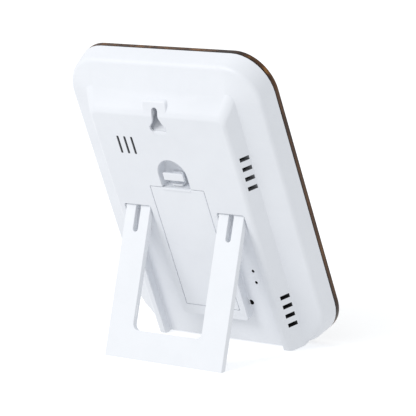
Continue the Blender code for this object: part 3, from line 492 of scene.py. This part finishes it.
def cut_keyhole(cover):
    """Keyhole with a lead-in ramp below it and a pocket behind whose floor slopes down towards the slot."""
    past = DEPTH + 2 * MM
    half, _, top = KEY_POCKET
    mouth_top = KEY_PAD[1]
    deep, middle, mouth = KEY_SLOPE
    cut(cover, loft("key_pocket", [(pocket_outline(half, deep[1], top), deep[0]),
                                   (pocket_outline(half, middle[1], top), middle[0])]))
    cut(cover, loft("key_mouth", [(pocket_outline(half, middle[1], mouth_top), middle[0] - 0.05 * MM),
                                  (pocket_outline(half, mouth[1], mouth_top), mouth[0])]))
    hole = keyhole_outline()
    cut(cover, loft("keyhole", [(hole, mouth[0] - 0.2 * MM), (hole, past)]))
    slot = rounded_outline(-KEY_SLOT_HALF, KEY_SLOT_HALF, mouth_top - 2 * MM, KEY_SLOT_TOP,
                           [0.3 * MM] * 2 + [KEY_SLOT_HALF * 0.98] * 2, 8)
    cut(cover, loft("key_slot", [(slot, middle[0] - 0.2 * MM), (slot, past)]))
    ramp_half, ramp_depth, ramp_length = KEY_RAMP
    high = KEY_BOTTOM + 2 * KEY_CORNER_R
    start = rounded_outline(-ramp_half * 0.8, ramp_half * 0.8, KEY_BOTTOM, high, [MM] * 4, 6)
    end = rounded_outline(-ramp_half, ramp_half, KEY_BOTTOM - ramp_length, high, [2 * MM, 2 * MM, MM, MM], 6)
    cut(cover, loft("key_ramp", [(start, DEPTH - ramp_depth), (end, DEPTH + 0.1 * MM)]))


def pocket_outline(half, low, high):
    return rounded_outline(-half, half, low, high, [0.3 * MM] * 4, 2)


def cut_battery_bay(cover):
    past = DEPTH + 2 * MM
    seat = DEPTH - DOOR_T - GAP
    cut(cover, block("bay", (-BAY_HALF, BAY_FLOOR, BAY_Z[0]), (BAY_HALF, past, BAY_Z[1])))
    cut(cover, pocket("door_seat", door_seat_outline, seat, rim=0.2 * MM, fillet=0.1 * MM))
    cut(cover, pocket("thumb_recess", thumb_outline, THUMB_FLOOR))
    reach = DOOR_TAB_WIDTH / 2 + GAP
    slot_floor, slot_reach = TAB_SLOT
    hole_r, hole_x, hole_y = LEAD_HOLE
    for side in (-1, 1):
        x = side * DOOR_TAB_X
        cut(cover, block("tab_slot", (x - reach, slot_floor, BAY_Z[0] - slot_reach),
                         (x + reach, seat + 0.15 * MM, BAY_Z[0] + 0.5 * MM)))
        cut(cover, bar("lead_hole", hole_r, (side * hole_x, hole_y, BAY_Z[1] - MM),
                       (side * hole_x, hole_y, BAY_Z[1] + BAY_END_WALL + MM), 16))


def cut_small_openings(cover):
    reach = BUZZER_SLOT_WIDTH / 2
    for x in BUZZER_SLOTS_X:
        def slot(grow, x=x):
            side = reach + grow
            return rounded_outline(x - side, x + side, BUZZER_SLOT_Z[0] - grow, BUZZER_SLOT_Z[1] + grow,
                                   [0.3 * MM + grow] * 4, 4)
        opening = pocket("buzzer_slot", slot, DEPTH - 3 * MM, rim=0.15 * MM, fillet=0.05 * MM)
        # The buzzer slot's walls get the grey painted shade
        cut(cover, set_slot(opening, PAINTED_HALF_SHADE_SLOT))
    length, height = VENT_SIZE
    # Vent walls get painted shade: grey in the upper group, near-black in the lower group
    for middle, painted_shade_slot in zip(VENT_GROUPS_Z, (PAINTED_HALF_SHADE_SLOT, PAINTED_SHADE_SLOT)):
        for number in range(VENTS_IN_GROUP):
            z = middle + (number - (VENTS_IN_GROUP - 1) / 2) * VENT_PITCH
            vent = block("vent", (-WIDTH / 2, VENT_Y - length / 2, z - height / 2),
                         (-PLATEAU_HALF[1] + 0.5 * MM, VENT_Y + length / 2, z + height / 2))
            cut(cover, set_slot(vent, painted_shade_slot))
    for x, z, radius in PINHOLES:
        rings = [(circle(x, z, radius), CHANNEL_FLOOR - WALL - MM),
                 (circle(x, z, radius), CHANNEL_FLOOR - 0.15 * MM),
                 (circle(x, z, radius + 0.2 * MM), CHANNEL_FLOOR + 0.05 * MM)]
        # The pinholes' walls get the near-black painted shade
        cut(cover, set_slot(loft("pinhole", rings), PAINTED_SHADE_SLOT))
    for side in (-1, 1):
        for x in (ISLAND_HALF - WALL - 0.3 * MM, CHANNEL_HALF - 0.3 * MM):
            cut(cover, bar("trunnion_hole", TRUNNION_HOLE_R, (side * x, PIVOT_Y, PIVOT_Z),
                           (side * (x + WALL + 0.6 * MM), PIVOT_Y, PIVOT_Z), 24))


def build_rear_cover():
    half = (WIDTH / 2, WIDTH / 2 - SIDE_DRAFT)
    top = (HEIGHT, HEIGHT - TOP_DRAFT)
    rings = shell_rings(half, top, 0, [CORNER_R] * 4, (FRAME_T + GAP, SHOULDER_Y), SHOULDER_R,
                        turn=SHOULDER_TURN)
    cover = loft("rear_cover_shell", rings + [sloped_shoulder()])
    for material in (WHITE, PAINTED_SHADE_INSIDE, PAINTED_HALF_SHADE_INSIDE):
        cover.data.materials.append(material)
    corners = [1.0 * MM, 1.0 * MM, PLATEAU_R, PLATEAU_R]
    rings = shell_rings(PLATEAU_HALF, PLATEAU_TOP, PLATEAU_BOTTOM, corners, (PLATEAU_BASE_Y, DEPTH),
                        PLATEAU_EDGE_R)
    root = [(outline, y - PLATEAU_ROOT) for outline, y in rings[:1]]
    join(cover, loft("plateau", root + rings), build_key_pad())
    cut(cover, build_cavity(half, top, corners))
    cut(cover, pocket("channel", channel_outline, CHANNEL_FLOOR))
    cut_battery_bay(cover)
    cut_keyhole(cover)
    cut_small_openings(cover)
    cut(cover, floor_block())
    finish_surface(cover)
    return cover


def floor_block():
    return block("floor_cut", (-0.2, -0.3, -0.1), (0.2, 0.3, 0.0), Matrix.Identity(4))


# ---------------------------------------------------------------- stand, door, latch, front

def build_stand():
    reach = STAND_T / 2
    slot_width = FLEX_SLOT[0]
    middle = (STAND_HALF + STAND_INNER) / 2
    shape = loft("stand_leg_frame", [(stand_outline(), -reach), (stand_outline(), reach)], STAND_AXIS)
    round_edges(shape, 0.35 * MM, 3, 50.0)
    for side in (-1, 1):
        inner = side * (STAND_INNER + 0.02 * MM)
        outer = side * (STAND_HALF - 0.02 * MM)
        for low, high in ((inner, side * (middle - slot_width / 2)),
                          (side * (middle + slot_width / 2), outer)):
            join(shape, bar("barrel", reach, (low, 0, 0), (high, 0, 0), 32, STAND_AXIS))
        for start, way in ((STAND_HALF, 1), (STAND_INNER, -1)):
            join(shape, bar("trunnion", TRUNNION_R, (side * (start - way * 0.5 * MM), 0, 0),
                            (side * (start + way * TRUNNION_LENGTH), 0, 0), 24, STAND_AXIS))
        bump, bump_top, bump_end = DETENT
        x = side * STAND_INNER
        join(shape, block("detent", (x - bump, -0.7 * MM, -bump_end), (x + bump, 0.7 * MM, -bump_top),
                          STAND_AXIS,
                          0.2 * MM))
    cut(shape, floor_block())
    return finish_surface(shape)


def stand_outline():
    """Legs, crossbar and flex slots as one closed outline that runs round the stand."""
    slot_width, slot_end = FLEX_SLOT
    middle = (STAND_HALF + STAND_INNER) / 2
    slot = slot_width / 2
    tip = STAND_T / 2
    right = arc_points(STAND_HALF - MM, -STAND_LENGTH + MM, MM, -90, 0)
    right += [(STAND_HALF, 0), (middle + slot, 0)]
    right += arc_points(middle, tip - slot_end + slot, slot, 0, -180, 10)
    right += [(middle - slot, 0), (STAND_INNER, 0)]
    right += arc_points(STAND_INNER - OPENING_R, -CROSSBAR_TOP + OPENING_R, OPENING_R, 0, -90)
    left = [(-x, z) for x, z in reversed(right)]
    return right + left


def door_outline(grow):
    return rounded_outline(-DOOR_HALF - grow, DOOR_HALF + grow, DOOR_Z[0] - grow, DOOR_Z[1] + grow,
                           [0.5 * MM] * 4, 5)


def build_door():
    rings = [(door_outline(0), DEPTH - DOOR_T)]
    rings += [(door_outline(-grow), DEPTH - depth) for depth, grow in rim_levels(DOOR_EDGE_R)]
    door = loft("battery_door_panel", rings)
    reach = DOOR_TAB_WIDTH / 2
    for side in (-1, 1):
        x = side * DOOR_TAB_X
        join(door, block("door_tab", (x - reach, DEPTH - DOOR_T - 1.5 * MM, DOOR_Z[0] - 2.0 * MM),
                         (x + reach, DEPTH - DOOR_T - 0.5 * MM, DOOR_Z[0] + 2.2 * MM), HOUSING, 0.1 * MM))
        join(door, block("door_tab_web", (x - reach, DEPTH - DOOR_T - 1.3 * MM, DOOR_Z[0] + 1.1 * MM + GAP),
                         (x + reach, DEPTH - DOOR_T + 0.2 * MM, DOOR_Z[0] + 2.4 * MM)))
    join(door, block("door_lip", (-THUMB_R + 0.4 * MM, DEPTH - 0.3 * MM, DOOR_Z[1] - 1.0 * MM),
                     (THUMB_R - 0.4 * MM, DEPTH + 0.35 * MM, DOOR_Z[1] - 0.1 * MM), HOUSING, 0.2 * MM))
    return finish_surface(door)


def build_latch():
    left, right = LATCH_ARM_X
    bottom = THUMB_FLOOR + 0.4 * MM
    root_z = DOOR_Z[1] + 0.1 * MM + GAP
    riser_z = LATCH_BAR_Z[0] + 1.3 * MM
    latch = block("latch_spring", (-LATCH_BAR_HALF, DEPTH - 1.3 * MM, LATCH_BAR_Z[0]),
                  (LATCH_BAR_HALF, DEPTH - 0.1 * MM, LATCH_BAR_Z[1]), HOUSING, 0.3 * MM)
    join(latch, block("latch_riser", (left, bottom, riser_z), (right, DEPTH - 0.8 * MM, riser_z + LATCH_T),
                      HOUSING,
                      0.2 * MM))
    join(latch, block("latch_floor", (left - 0.1 * MM, bottom, root_z),
                      (right + 0.1 * MM, bottom + LATCH_T, riser_z + LATCH_T - 0.1 * MM), HOUSING, 0.2 * MM))
    join(latch, block("latch_root", (left + 0.1 * MM, bottom + 0.1 * MM, root_z + 0.05 * MM),
                      (right - 0.1 * MM, DEPTH - DOOR_T - 0.5 * MM, root_z + LATCH_T), HOUSING, 0.15 * MM))
    return finish_surface(latch)


def build_front():
    half = WIDTH / 2
    edge = FRONT_EDGE

    def outline(grow):
        return rounded_outline(-half - grow, half + grow, -grow, HEIGHT + grow, [CORNER_R + grow] * 4, 24)

    rings = [(outline(grow * edge), depth * edge) for grow, depth in QUARTER_ROUND]
    rings += [(outline(0), FRAME_T - 0.5 * edge), (outline(-0.15 * edge), FRAME_T - 0.15 * edge),
              (outline(-0.5 * edge), FRAME_T)]
    front = loft("front_panel", rings)
    reach = WALL + GAP * 2
    tongue = rounded_outline(-half + reach, half - reach, reach, HEIGHT - reach - MM, [CORNER_R - reach] * 4,
                             16)
    join(front, loft("tongue", [(tongue, FRAME_T - 0.2 * MM), (tongue, TONGUE_END)]))
    reach += TONGUE_T
    inner = rounded_outline(-half + reach, half - reach, reach, HEIGHT - reach - MM, [CORNER_R - reach] * 4,
                            16)
    cut(front, loft("tongue_hollow", [(inner, FRAME_T), (inner, TONGUE_END + MM)]))
    opening = rounded_outline(-WINDOW_HALF + WINDOW_LIP, WINDOW_HALF - WINDOW_LIP, WINDOW_Z[0] + WINDOW_LIP,
                              WINDOW_Z[1] - WINDOW_LIP, [WINDOW_R] * 4, 8)
    cut(front, loft("window_opening", [(opening, -MM), (opening, FRAME_T + MM)]))

    def rebate(grow):
        return rounded_outline(-WINDOW_HALF - grow, WINDOW_HALF + grow, WINDOW_Z[0] - grow,
                               WINDOW_Z[1] + grow,
                               [WINDOW_R + grow] * 4, 8)

    cut(front, loft("window_rebate", [(rebate(0.35 * MM), -MM), (rebate(0.3 * MM), 0), (rebate(0), 0.3 * MM),
                                      (rebate(0), WINDOW_REBATE)]))
    return finish_surface(front)


def build_window():
    inset = GAP

    def outline(grow):
        return rounded_outline(-WINDOW_HALF + inset - grow, WINDOW_HALF - inset + grow,
                               WINDOW_Z[0] + inset - grow,
                               WINDOW_Z[1] - inset + grow, [WINDOW_R - inset + grow] * 4, 8)

    front = 0.15 * MM
    soft = 0.2 * MM
    rings = [(outline(-soft), front), (outline(-0.3 * soft), front + 0.3 * soft), (outline(0), front + soft),
             (outline(0), WINDOW_REBATE - GAP)]
    return finish_surface(loft("window_pane", rings))


def build_cell(name, matrix, materials):
    """A cell with a sleeve crimped over both ends, a bare base and a bare raised terminal."""
    top = CELL_BODY
    profile = [(0.5 * MM, 0.1 * MM), (6.2 * MM, 0.1 * MM), (6.3 * MM, 0.0), (6.7 * MM, 0.05 * MM),
               (7.0 * MM, 0.3 * MM),
               (CELL_R, 0.8 * MM), (CELL_R, top - 0.9 * MM), (6.95 * MM, top - 0.35 * MM),
               (6.6 * MM, top - 0.05 * MM),
               (6.2 * MM, top), (6.0 * MM, top - 0.25 * MM), (3.4 * MM, top - 0.25 * MM), (2.9 * MM, top),
               (NUB_R, top + 0.3 * MM), (NUB_R, top + NUB_LENGTH - 0.25 * MM), (2.5 * MM, top + NUB_LENGTH),
               (0.5 * MM, top + NUB_LENGTH)]
    cell = turned(name, profile, matrix)
    for material in materials:
        cell.data.materials.append(material)
    for face in cell.data.polygons:
        bare = math.hypot(face.center.x, face.center.y) < CELL_CRIMP_R
        face.material_index = 1 if bare else 0
    return finish_surface(cell)


def build_cells(steel):
    """Two cells side by side, one with its terminal up and the other with its terminal down."""
    high_band = CELL_HIGH - NUB_LENGTH - BAND
    low_band = CELL_LOW + NUB_LENGTH + BAND
    upward = HOUSING @ Matrix.Translation((CELL_X, CELL_Y, CELL_HIGH - NUB_LENGTH - CELL_BODY))
    downward = (HOUSING @ Matrix.Translation((-CELL_X, CELL_Y, CELL_LOW + NUB_LENGTH + CELL_BODY))
                @ Matrix.Rotation(math.pi, 4, "X"))
    first = build_cell("cell_1", upward, (cell_sleeve("sleeve_1", high_band, high_band + BAND_EDGE), steel))
    second = build_cell("cell_2", downward, (cell_sleeve("sleeve_2", low_band, low_band - BAND_EDGE), steel))
    dress(first, None, "housing", "battery_1")
    dress(second, None, "housing", "battery_2")


# ---------------------------------------------------------------- materials

def new_material(name, roughness=0.5, metallic=0.0):
    material = bpy.data.materials.new(name)
    material.use_nodes = True
    shader = material.node_tree.nodes["Principled BSDF"]
    shader.inputs["Roughness"].default_value = roughness
    shader.inputs["Metallic"].default_value = metallic
    return material, material.node_tree, shader


def coordinates(tree, scale=(1.0, 1.0, 1.0)):
    return stretched(tree, tree.nodes.new("ShaderNodeTexCoord").outputs["Object"], scale)


def housing_coordinates(tree):
    """Coordinates in the housing's own axes, so that grain and bands follow the leaning panel."""
    source = tree.nodes.new("ShaderNodeTexCoord")
    upright = tree.nodes.new("ShaderNodeMapping")
    upright.vector_type = "TEXTURE"
    upright.inputs["Location"].default_value = HOUSING.to_translation()
    upright.inputs["Rotation"].default_value = (-LEAN, 0.0, 0.0)
    tree.links.new(source.outputs["Object"], upright.inputs["Vector"])
    return upright.outputs["Vector"]


def stretched(tree, vector, scale):
    mapping = tree.nodes.new("ShaderNodeMapping")
    mapping.inputs["Scale"].default_value = scale
    tree.links.new(vector, mapping.inputs["Vector"])
    return mapping.outputs["Vector"]


def noise(tree, vector, scale, detail=3.0, roughness=0.5, distortion=0.0):
    node = tree.nodes.new("ShaderNodeTexNoise")
    node.inputs["Scale"].default_value = scale
    node.inputs["Detail"].default_value = detail
    node.inputs["Roughness"].default_value = roughness
    node.inputs["Distortion"].default_value = distortion
    tree.links.new(vector, node.inputs["Vector"])
    return node.outputs["Fac"]


def ramp(tree, factor, stops):
    node = tree.nodes.new("ShaderNodeValToRGB")
    elements = node.color_ramp.elements
    while len(elements) < len(stops):
        elements.new(0.5)
    for element, (position, colour) in zip(elements, stops):
        element.position = position
        element.color = (*colour, 1.0)
    tree.links.new(factor, node.inputs["Fac"])
    return node.outputs["Color"]


def multiplied(tree, first, second):
    node = tree.nodes.new("ShaderNodeMix")
    node.data_type = "RGBA"
    node.blend_type = "MULTIPLY"
    node.inputs["Factor"].default_value = 1.0
    tree.links.new(first, node.inputs["A"])
    tree.links.new(second, node.inputs["B"])
    return node.outputs["Result"]


def span(tree, factor, low, high, from_low=0.3, from_high=0.7):
    node = tree.nodes.new("ShaderNodeMapRange")
    node.inputs["From Min"].default_value = from_low
    node.inputs["From Max"].default_value = from_high
    node.inputs["To Min"].default_value = low
    node.inputs["To Max"].default_value = high
    tree.links.new(factor, node.inputs["Value"])
    return node.outputs["Result"]


def bump(tree, shader, height, strength, distance):
    node = tree.nodes.new("ShaderNodeBump")
    node.inputs["Strength"].default_value = strength
    node.inputs["Distance"].default_value = distance
    tree.links.new(height, node.inputs["Height"])
    tree.links.new(node.outputs["Normal"], shader.inputs["Normal"])


def moulded_plastic(name, light, dark, roughness=0.42):
    """Satin moulded plastic: a faint mottle, uneven gloss and a fine spark-eroded texture."""
    material, tree, shader = new_material(name)
    vector = coordinates(tree)
    mottle = noise(tree, vector, 60.0, 4.0, 0.6)
    tree.links.new(ramp(tree, mottle, [(0.3, dark), (0.7, light)]), shader.inputs["Base Color"])
    gloss = noise(tree, vector, 140.0, 3.0)
    tree.links.new(span(tree, gloss, roughness - 0.06, roughness + 0.08), shader.inputs["Roughness"])
    grain = noise(tree, vector, 5200.0, 2.0, 0.6)
    bump(tree, shader, grain, 0.12, 0.00002)
    shader.inputs["IOR"].default_value = 1.5
    shader.inputs["Specular IOR Level"].default_value = 0.45
    return material


def wood_look():
    """Wood-look board: golden in the middle of its thickness and darker towards its front and back faces,
    with the grain along the housing's height.
    """
    material, tree, shader = new_material("wood_look_board")
    upright = housing_coordinates(tree)
    vector = stretched(tree, upright, (24.0, 24.0, 2.4))
    grain = noise(tree, vector, 9.0, 6.0, 0.62, 0.8)
    golden = ramp(tree, grain, [(0.30, (0.030, 0.011, 0.004)), (0.46, (0.090, 0.036, 0.010)),
                                (0.60, (0.230, 0.098, 0.022)), (0.76, (0.400, 0.185, 0.045))])
    patches = noise(tree, upright, 26.0, 1.0)
    tone = ramp(tree, patches, [(0.38, (0.22, 0.18, 0.17)), (0.62, (1.0, 1.0, 1.0))])
    split = tree.nodes.new("ShaderNodeSeparateXYZ")
    tree.links.new(upright, split.inputs["Vector"])
    # Darker towards the front and back faces of the board, golden in the middle of its thickness
    skin = ramp(tree, span(tree, split.outputs["Y"], 0.0, 1.0, 0.0, FRAME_T),
                [(0.0, (0.30, 0.30, 0.30)), (0.30, (1.0, 1.0, 1.0)), (0.70, (1.0, 1.0, 1.0)),
                 (1.0, (0.25, 0.25, 0.25))])
    tree.links.new(multiplied(tree, multiplied(tree, golden, skin), tone), shader.inputs["Base Color"])
    pores = noise(tree, stretched(tree, upright, (300.0, 300.0, 9.0)), 9.0, 3.0)
    tree.links.new(span(tree, pores, 0.30, 0.46), shader.inputs["Roughness"])
    bump(tree, shader, pores, 0.15, 0.00003)
    shader.inputs["Specular IOR Level"].default_value = 0.2
    shader.inputs["Coat Weight"].default_value = 0.12
    shader.inputs["Coat Roughness"].default_value = 0.1
    return material


def dark_glass():
    """Tinted acrylic with a faint haze."""
    material, tree, shader = new_material("window_acrylic")
    haze = noise(tree, coordinates(tree), 90.0, 3.0)
    tree.links.new(span(tree, haze, 0.03, 0.07), shader.inputs["Roughness"])
    tint = ramp(tree, haze, [(0.2, (0.34, 0.35, 0.37)), (0.8, (0.39, 0.40, 0.42))])
    tree.links.new(tint, shader.inputs["Base Color"])
    shader.inputs["Transmission Weight"].default_value = 0.85
    shader.inputs["IOR"].default_value = 1.49
    return material


def lcd_glass():
    """Switched-off liquid crystal glass with its faint cell columns."""
    material, tree, shader = new_material("lcd_glass", 0.12)
    vector = coordinates(tree)
    wave = tree.nodes.new("ShaderNodeTexWave")
    wave.inputs["Scale"].default_value = 160.0
    tree.links.new(vector, wave.inputs["Vector"])
    cloud = noise(tree, vector, 30.0, 2.0)
    mixed = tree.nodes.new("ShaderNodeMath")
    mixed.operation = "MULTIPLY_ADD"
    mixed.inputs[1].default_value = 0.15
    tree.links.new(wave.outputs["Fac"], mixed.inputs[0])
    tree.links.new(cloud, mixed.inputs[2])
    tree.links.new(ramp(tree, mixed.outputs[0], [(0.3, (0.19, 0.215, 0.19)), (0.8, (0.26, 0.29, 0.255))]),
                   shader.inputs["Base Color"])
    return material


def plated_metal(name, light, dark, roughness=0.25):
    """Plated metal with fine drawn streaks."""
    material, tree, shader = new_material(name, roughness, 1.0)
    vector = coordinates(tree)
    streaks = noise(tree, coordinates(tree, (1.0, 1.0, 12.0)), 400.0, 4.0)
    tree.links.new(ramp(tree, streaks, [(0.3, dark), (0.7, light)]), shader.inputs["Base Color"])
    tree.links.new(span(tree, noise(tree, vector, 900.0), roughness - 0.07, roughness + 0.12),
                   shader.inputs["Roughness"])
    bump(tree, shader, streaks, 0.1, 0.00002)
    return material


def solder_mask():
    """Green lacquer over copper: raised tracks show through as paler bands."""
    material, tree, shader = new_material("solder_mask", 0.35)
    vector = coordinates(tree)
    tracks = tree.nodes.new("ShaderNodeTexBrick")
    tracks.inputs["Scale"].default_value = 260.0
    tracks.inputs["Mortar Size"].default_value = 0.06
    tracks.inputs["Color1"].default_value = (0.012, 0.085, 0.034, 1.0)
    tracks.inputs["Color2"].default_value = (0.016, 0.105, 0.042, 1.0)
    tracks.inputs["Mortar"].default_value = (0.04, 0.19, 0.08, 1.0)
    tree.links.new(vector, tracks.inputs["Vector"])
    tree.links.new(tracks.outputs["Color"], shader.inputs["Base Color"])
    bump(tree, shader, tracks.outputs["Fac"], 0.3, 0.00003)
    tree.links.new(span(tree, noise(tree, vector, 300.0), 0.28, 0.42), shader.inputs["Roughness"])
    return material


def cell_sleeve(name, start, end):
    """Battery sleeve: a plain grey wrap with a paler grey band from start to end along the housing."""
    material, tree, shader = new_material(name, 0.25)
    upright = housing_coordinates(tree)
    fleck = noise(tree, upright, 240.0, 3.0)
    body = ramp(tree, fleck, [(0.3, (0.150, 0.156, 0.165)), (0.7, (0.190, 0.197, 0.208))])
    pale = ramp(tree, fleck, [(0.3, (0.48, 0.49, 0.50)), (0.7, (0.56, 0.57, 0.58))])
    split = tree.nodes.new("ShaderNodeSeparateXYZ")
    tree.links.new(upright, split.inputs["Vector"])
    band = span(tree, split.outputs["Z"], 0.0, 1.0, start, end)
    mix = tree.nodes.new("ShaderNodeMix")
    mix.data_type = "RGBA"
    tree.links.new(band, mix.inputs["Factor"])
    tree.links.new(body, mix.inputs["A"])
    tree.links.new(pale, mix.inputs["B"])
    tree.links.new(mix.outputs["Result"], shader.inputs["Base Color"])
    tree.links.new(span(tree, fleck, 0.2, 0.34), shader.inputs["Roughness"])
    bump(tree, shader, noise(tree, upright, 900.0), 0.08, 0.00003)
    return material


def dull(name, light, dark, roughness, scale=500.0, strength=0.2):
    """A matt surface with a fine grain, for rubber, resin, film and sleeves."""
    material, tree, shader = new_material(name, roughness)
    vector = coordinates(tree)
    grain = noise(tree, vector, scale, 4.0, 0.6)
    tree.links.new(ramp(tree, grain, [(0.3, dark), (0.7, light)]), shader.inputs["Base Color"])
    tree.links.new(span(tree, grain, roughness - 0.08, roughness + 0.08), shader.inputs["Roughness"])
    bump(tree, shader, grain, strength, 0.00003)
    return material


# ---------------------------------------------------------------- dressing the model

WHITE = moulded_plastic("white_moulding", (0.815, 0.835, 0.875), (0.79, 0.81, 0.85))
# Painted shade: near-black for the cover's inside, the lower vents and the pinholes, grey for the buzzer
# slots and the upper vents
PAINTED_SHADE_INSIDE = dull("shaded_inside", (0.020, 0.020, 0.022), (0.010, 0.010, 0.011), 0.8)
PAINTED_HALF_SHADE_INSIDE = dull("half_lit_inside", (0.20, 0.205, 0.22), (0.14, 0.145, 0.155), 0.8)
STAND_WHITE = moulded_plastic("white_moulding_stand", (0.83, 0.85, 0.885), (0.805, 0.825, 0.86), 0.40)


def dress(item, material, body, node):
    """Gives a piece its material, if it has none yet, and puts it in place of its CAD node."""
    if material:
        item.data.materials.clear()
        item.data.materials.append(material)
    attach(item, body)
    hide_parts(node)
    return item


def paint_node(material, *names):
    for name in names:
        for material_slot in frame["nodes"][name].material_slots:
            material_slot.material = material


def dress_inner_parts():
    steel = plated_metal("nickel_plate", (0.72, 0.71, 0.69), (0.55, 0.54, 0.52))
    board = solder_mask()
    black = dull("black_resin", (0.030, 0.030, 0.032), (0.014, 0.014, 0.015), 0.5)
    paint_node(lcd_glass(), "lcd_panel")
    paint_node(dull("reflector_film", (0.80, 0.80, 0.79), (0.72, 0.72, 0.71), 0.4, 220.0), "reflector")
    paint_node(steel, "lcd_bezel", "positive_contact", "negative_contact", "bridge_contact", "spring_1",
               "spring_2",
               "crystal", "board_screw_1", "board_screw_2", "board_screw_3", "board_screw_4", "key_screw_1",
               "key_screw_2")
    paint_node(dull("rubber_strip", (0.06, 0.06, 0.065), (0.035, 0.035, 0.04), 0.7), "elastomer_strip")
    build_cells(steel)
    paint_node(board, "main_board", "key_board", "sensor_board")
    paint_node(black, "driver_chip", "buzzer", "switch_1", "switch_2", "switch_3")
    paint_node(dull("capacitor_sleeve", (0.035, 0.045, 0.11), (0.02, 0.026, 0.07), 0.35), "capacitor")
    paint_node(dull("key_cap", (0.56, 0.10, 0.05), (0.44, 0.07, 0.035), 0.45), "plunger_1", "plunger_2",
               "plunger_3")
    paint_node(dull("sensor_body", (0.75, 0.75, 0.72), (0.64, 0.64, 0.61), 0.5), "humidity_sensor")
    paint_node(dull("red_sleeve", (0.56, 0.025, 0.02), (0.40, 0.015, 0.014), 0.42), "red_lead")
    paint_node(dull("black_sleeve", (0.03, 0.03, 0.03), (0.015, 0.015, 0.015), 0.42), "black_lead",
               "buzzer_lead_1",
               "buzzer_lead_2")
    paint_node(dull("grey_sleeve", (0.30, 0.30, 0.32), (0.22, 0.22, 0.24), 0.42), "sensor_lead", "key_lead")


def build_object():
    dress(build_rear_cover(), None, "housing", "rear_cover")
    dress(build_stand(), STAND_WHITE, "stand", "stand")
    dress(build_door(), WHITE, "battery_door", "battery_door")
    dress(build_latch(), WHITE, "latch_tab", "latch_tab")
    dress(build_front(), wood_look(), "housing", "front_frame")
    dress(build_window(), dark_glass(), "housing", "display_window")
    dress_inner_parts()


# ---------------------------------------------------------------- stage, lights and camera

def build_floor():
    """A pale floor that glows slightly and throws no light on the object."""
    shape = bmesh.new()
    bmesh.ops.create_grid(shape, x_segments=1, y_segments=1, size=FLOOR_HALF)
    floor = link("floor", mesh_from("floor", shape), Matrix.Translation((0, 0, -FLOOR_DROP)))
    material, tree, shader = new_material("pale_floor", 0.9)
    tone = noise(tree, coordinates(tree), 2.0)
    tree.links.new(ramp(tree, tone, [(0.3, (0.95, 0.95, 0.95)), (0.7, (0.97, 0.97, 0.97))]),
                   shader.inputs["Base Color"])
    shader.inputs["Specular IOR Level"].default_value = 0.0
    shader.inputs["Emission Color"].default_value = (1.0, 1.0, 1.0, 1.0)
    shader.inputs["Emission Strength"].default_value = FLOOR_GLOW
    floor.data.materials.append(material)
    floor.visible_diffuse = False


def direction(azimuth, elevation):
    """Unit vector from the object; azimuth 0 looks at the display, angles in degrees."""
    turn, rise = math.radians(azimuth), math.radians(elevation)
    return Vector((math.sin(turn) * math.cos(rise), -math.cos(turn) * math.cos(rise), math.sin(rise)))


def build_lights():
    """A soft white surround and one large lamp."""
    world = bpy.data.worlds.new("studio")
    bpy.context.scene.world = world
    world.use_nodes = True
    background = world.node_tree.nodes["Background"]
    background.inputs["Color"].default_value = WORLD_COLOUR
    background.inputs["Strength"].default_value = WORLD_STRENGTH
    data = bpy.data.lights.new("key", "AREA")
    data.shape = "DISK"
    data.size = LAMP_SIZE
    data.energy = LAMP_POWER
    data.color = LAMP_COLOUR
    lamp = bpy.data.objects.new("key", data)
    bpy.context.scene.collection.objects.link(lamp)
    away = direction(*LAMP_TURN)
    lamp.location = away * LAMP_DISTANCE
    lamp.rotation_mode = "QUATERNION"
    lamp.rotation_quaternion = away.to_track_quat("Z", "Y")


def build_camera():
    azimuth, elevation, roll = CAMERA_TURN
    back = direction(azimuth, elevation)
    data = bpy.data.cameras.new("camera")
    data.lens = CAMERA_LENS
    data.sensor_width = CAMERA_SENSOR
    camera = bpy.data.objects.new("camera", data)
    bpy.context.scene.collection.objects.link(camera)
    camera.location = Vector(CAMERA_AIM) + back * CAMERA_DISTANCE
    camera.rotation_mode = "QUATERNION"
    level = (-back).to_track_quat("-Z", "Y")
    camera.rotation_quaternion = level @ Matrix.Rotation(math.radians(roll), 3, "Z").to_quaternion()
    bpy.context.scene.camera = camera


build_object()
build_floor()
build_lights()
build_camera()
bpy.context.scene.view_settings.view_transform = "Standard"
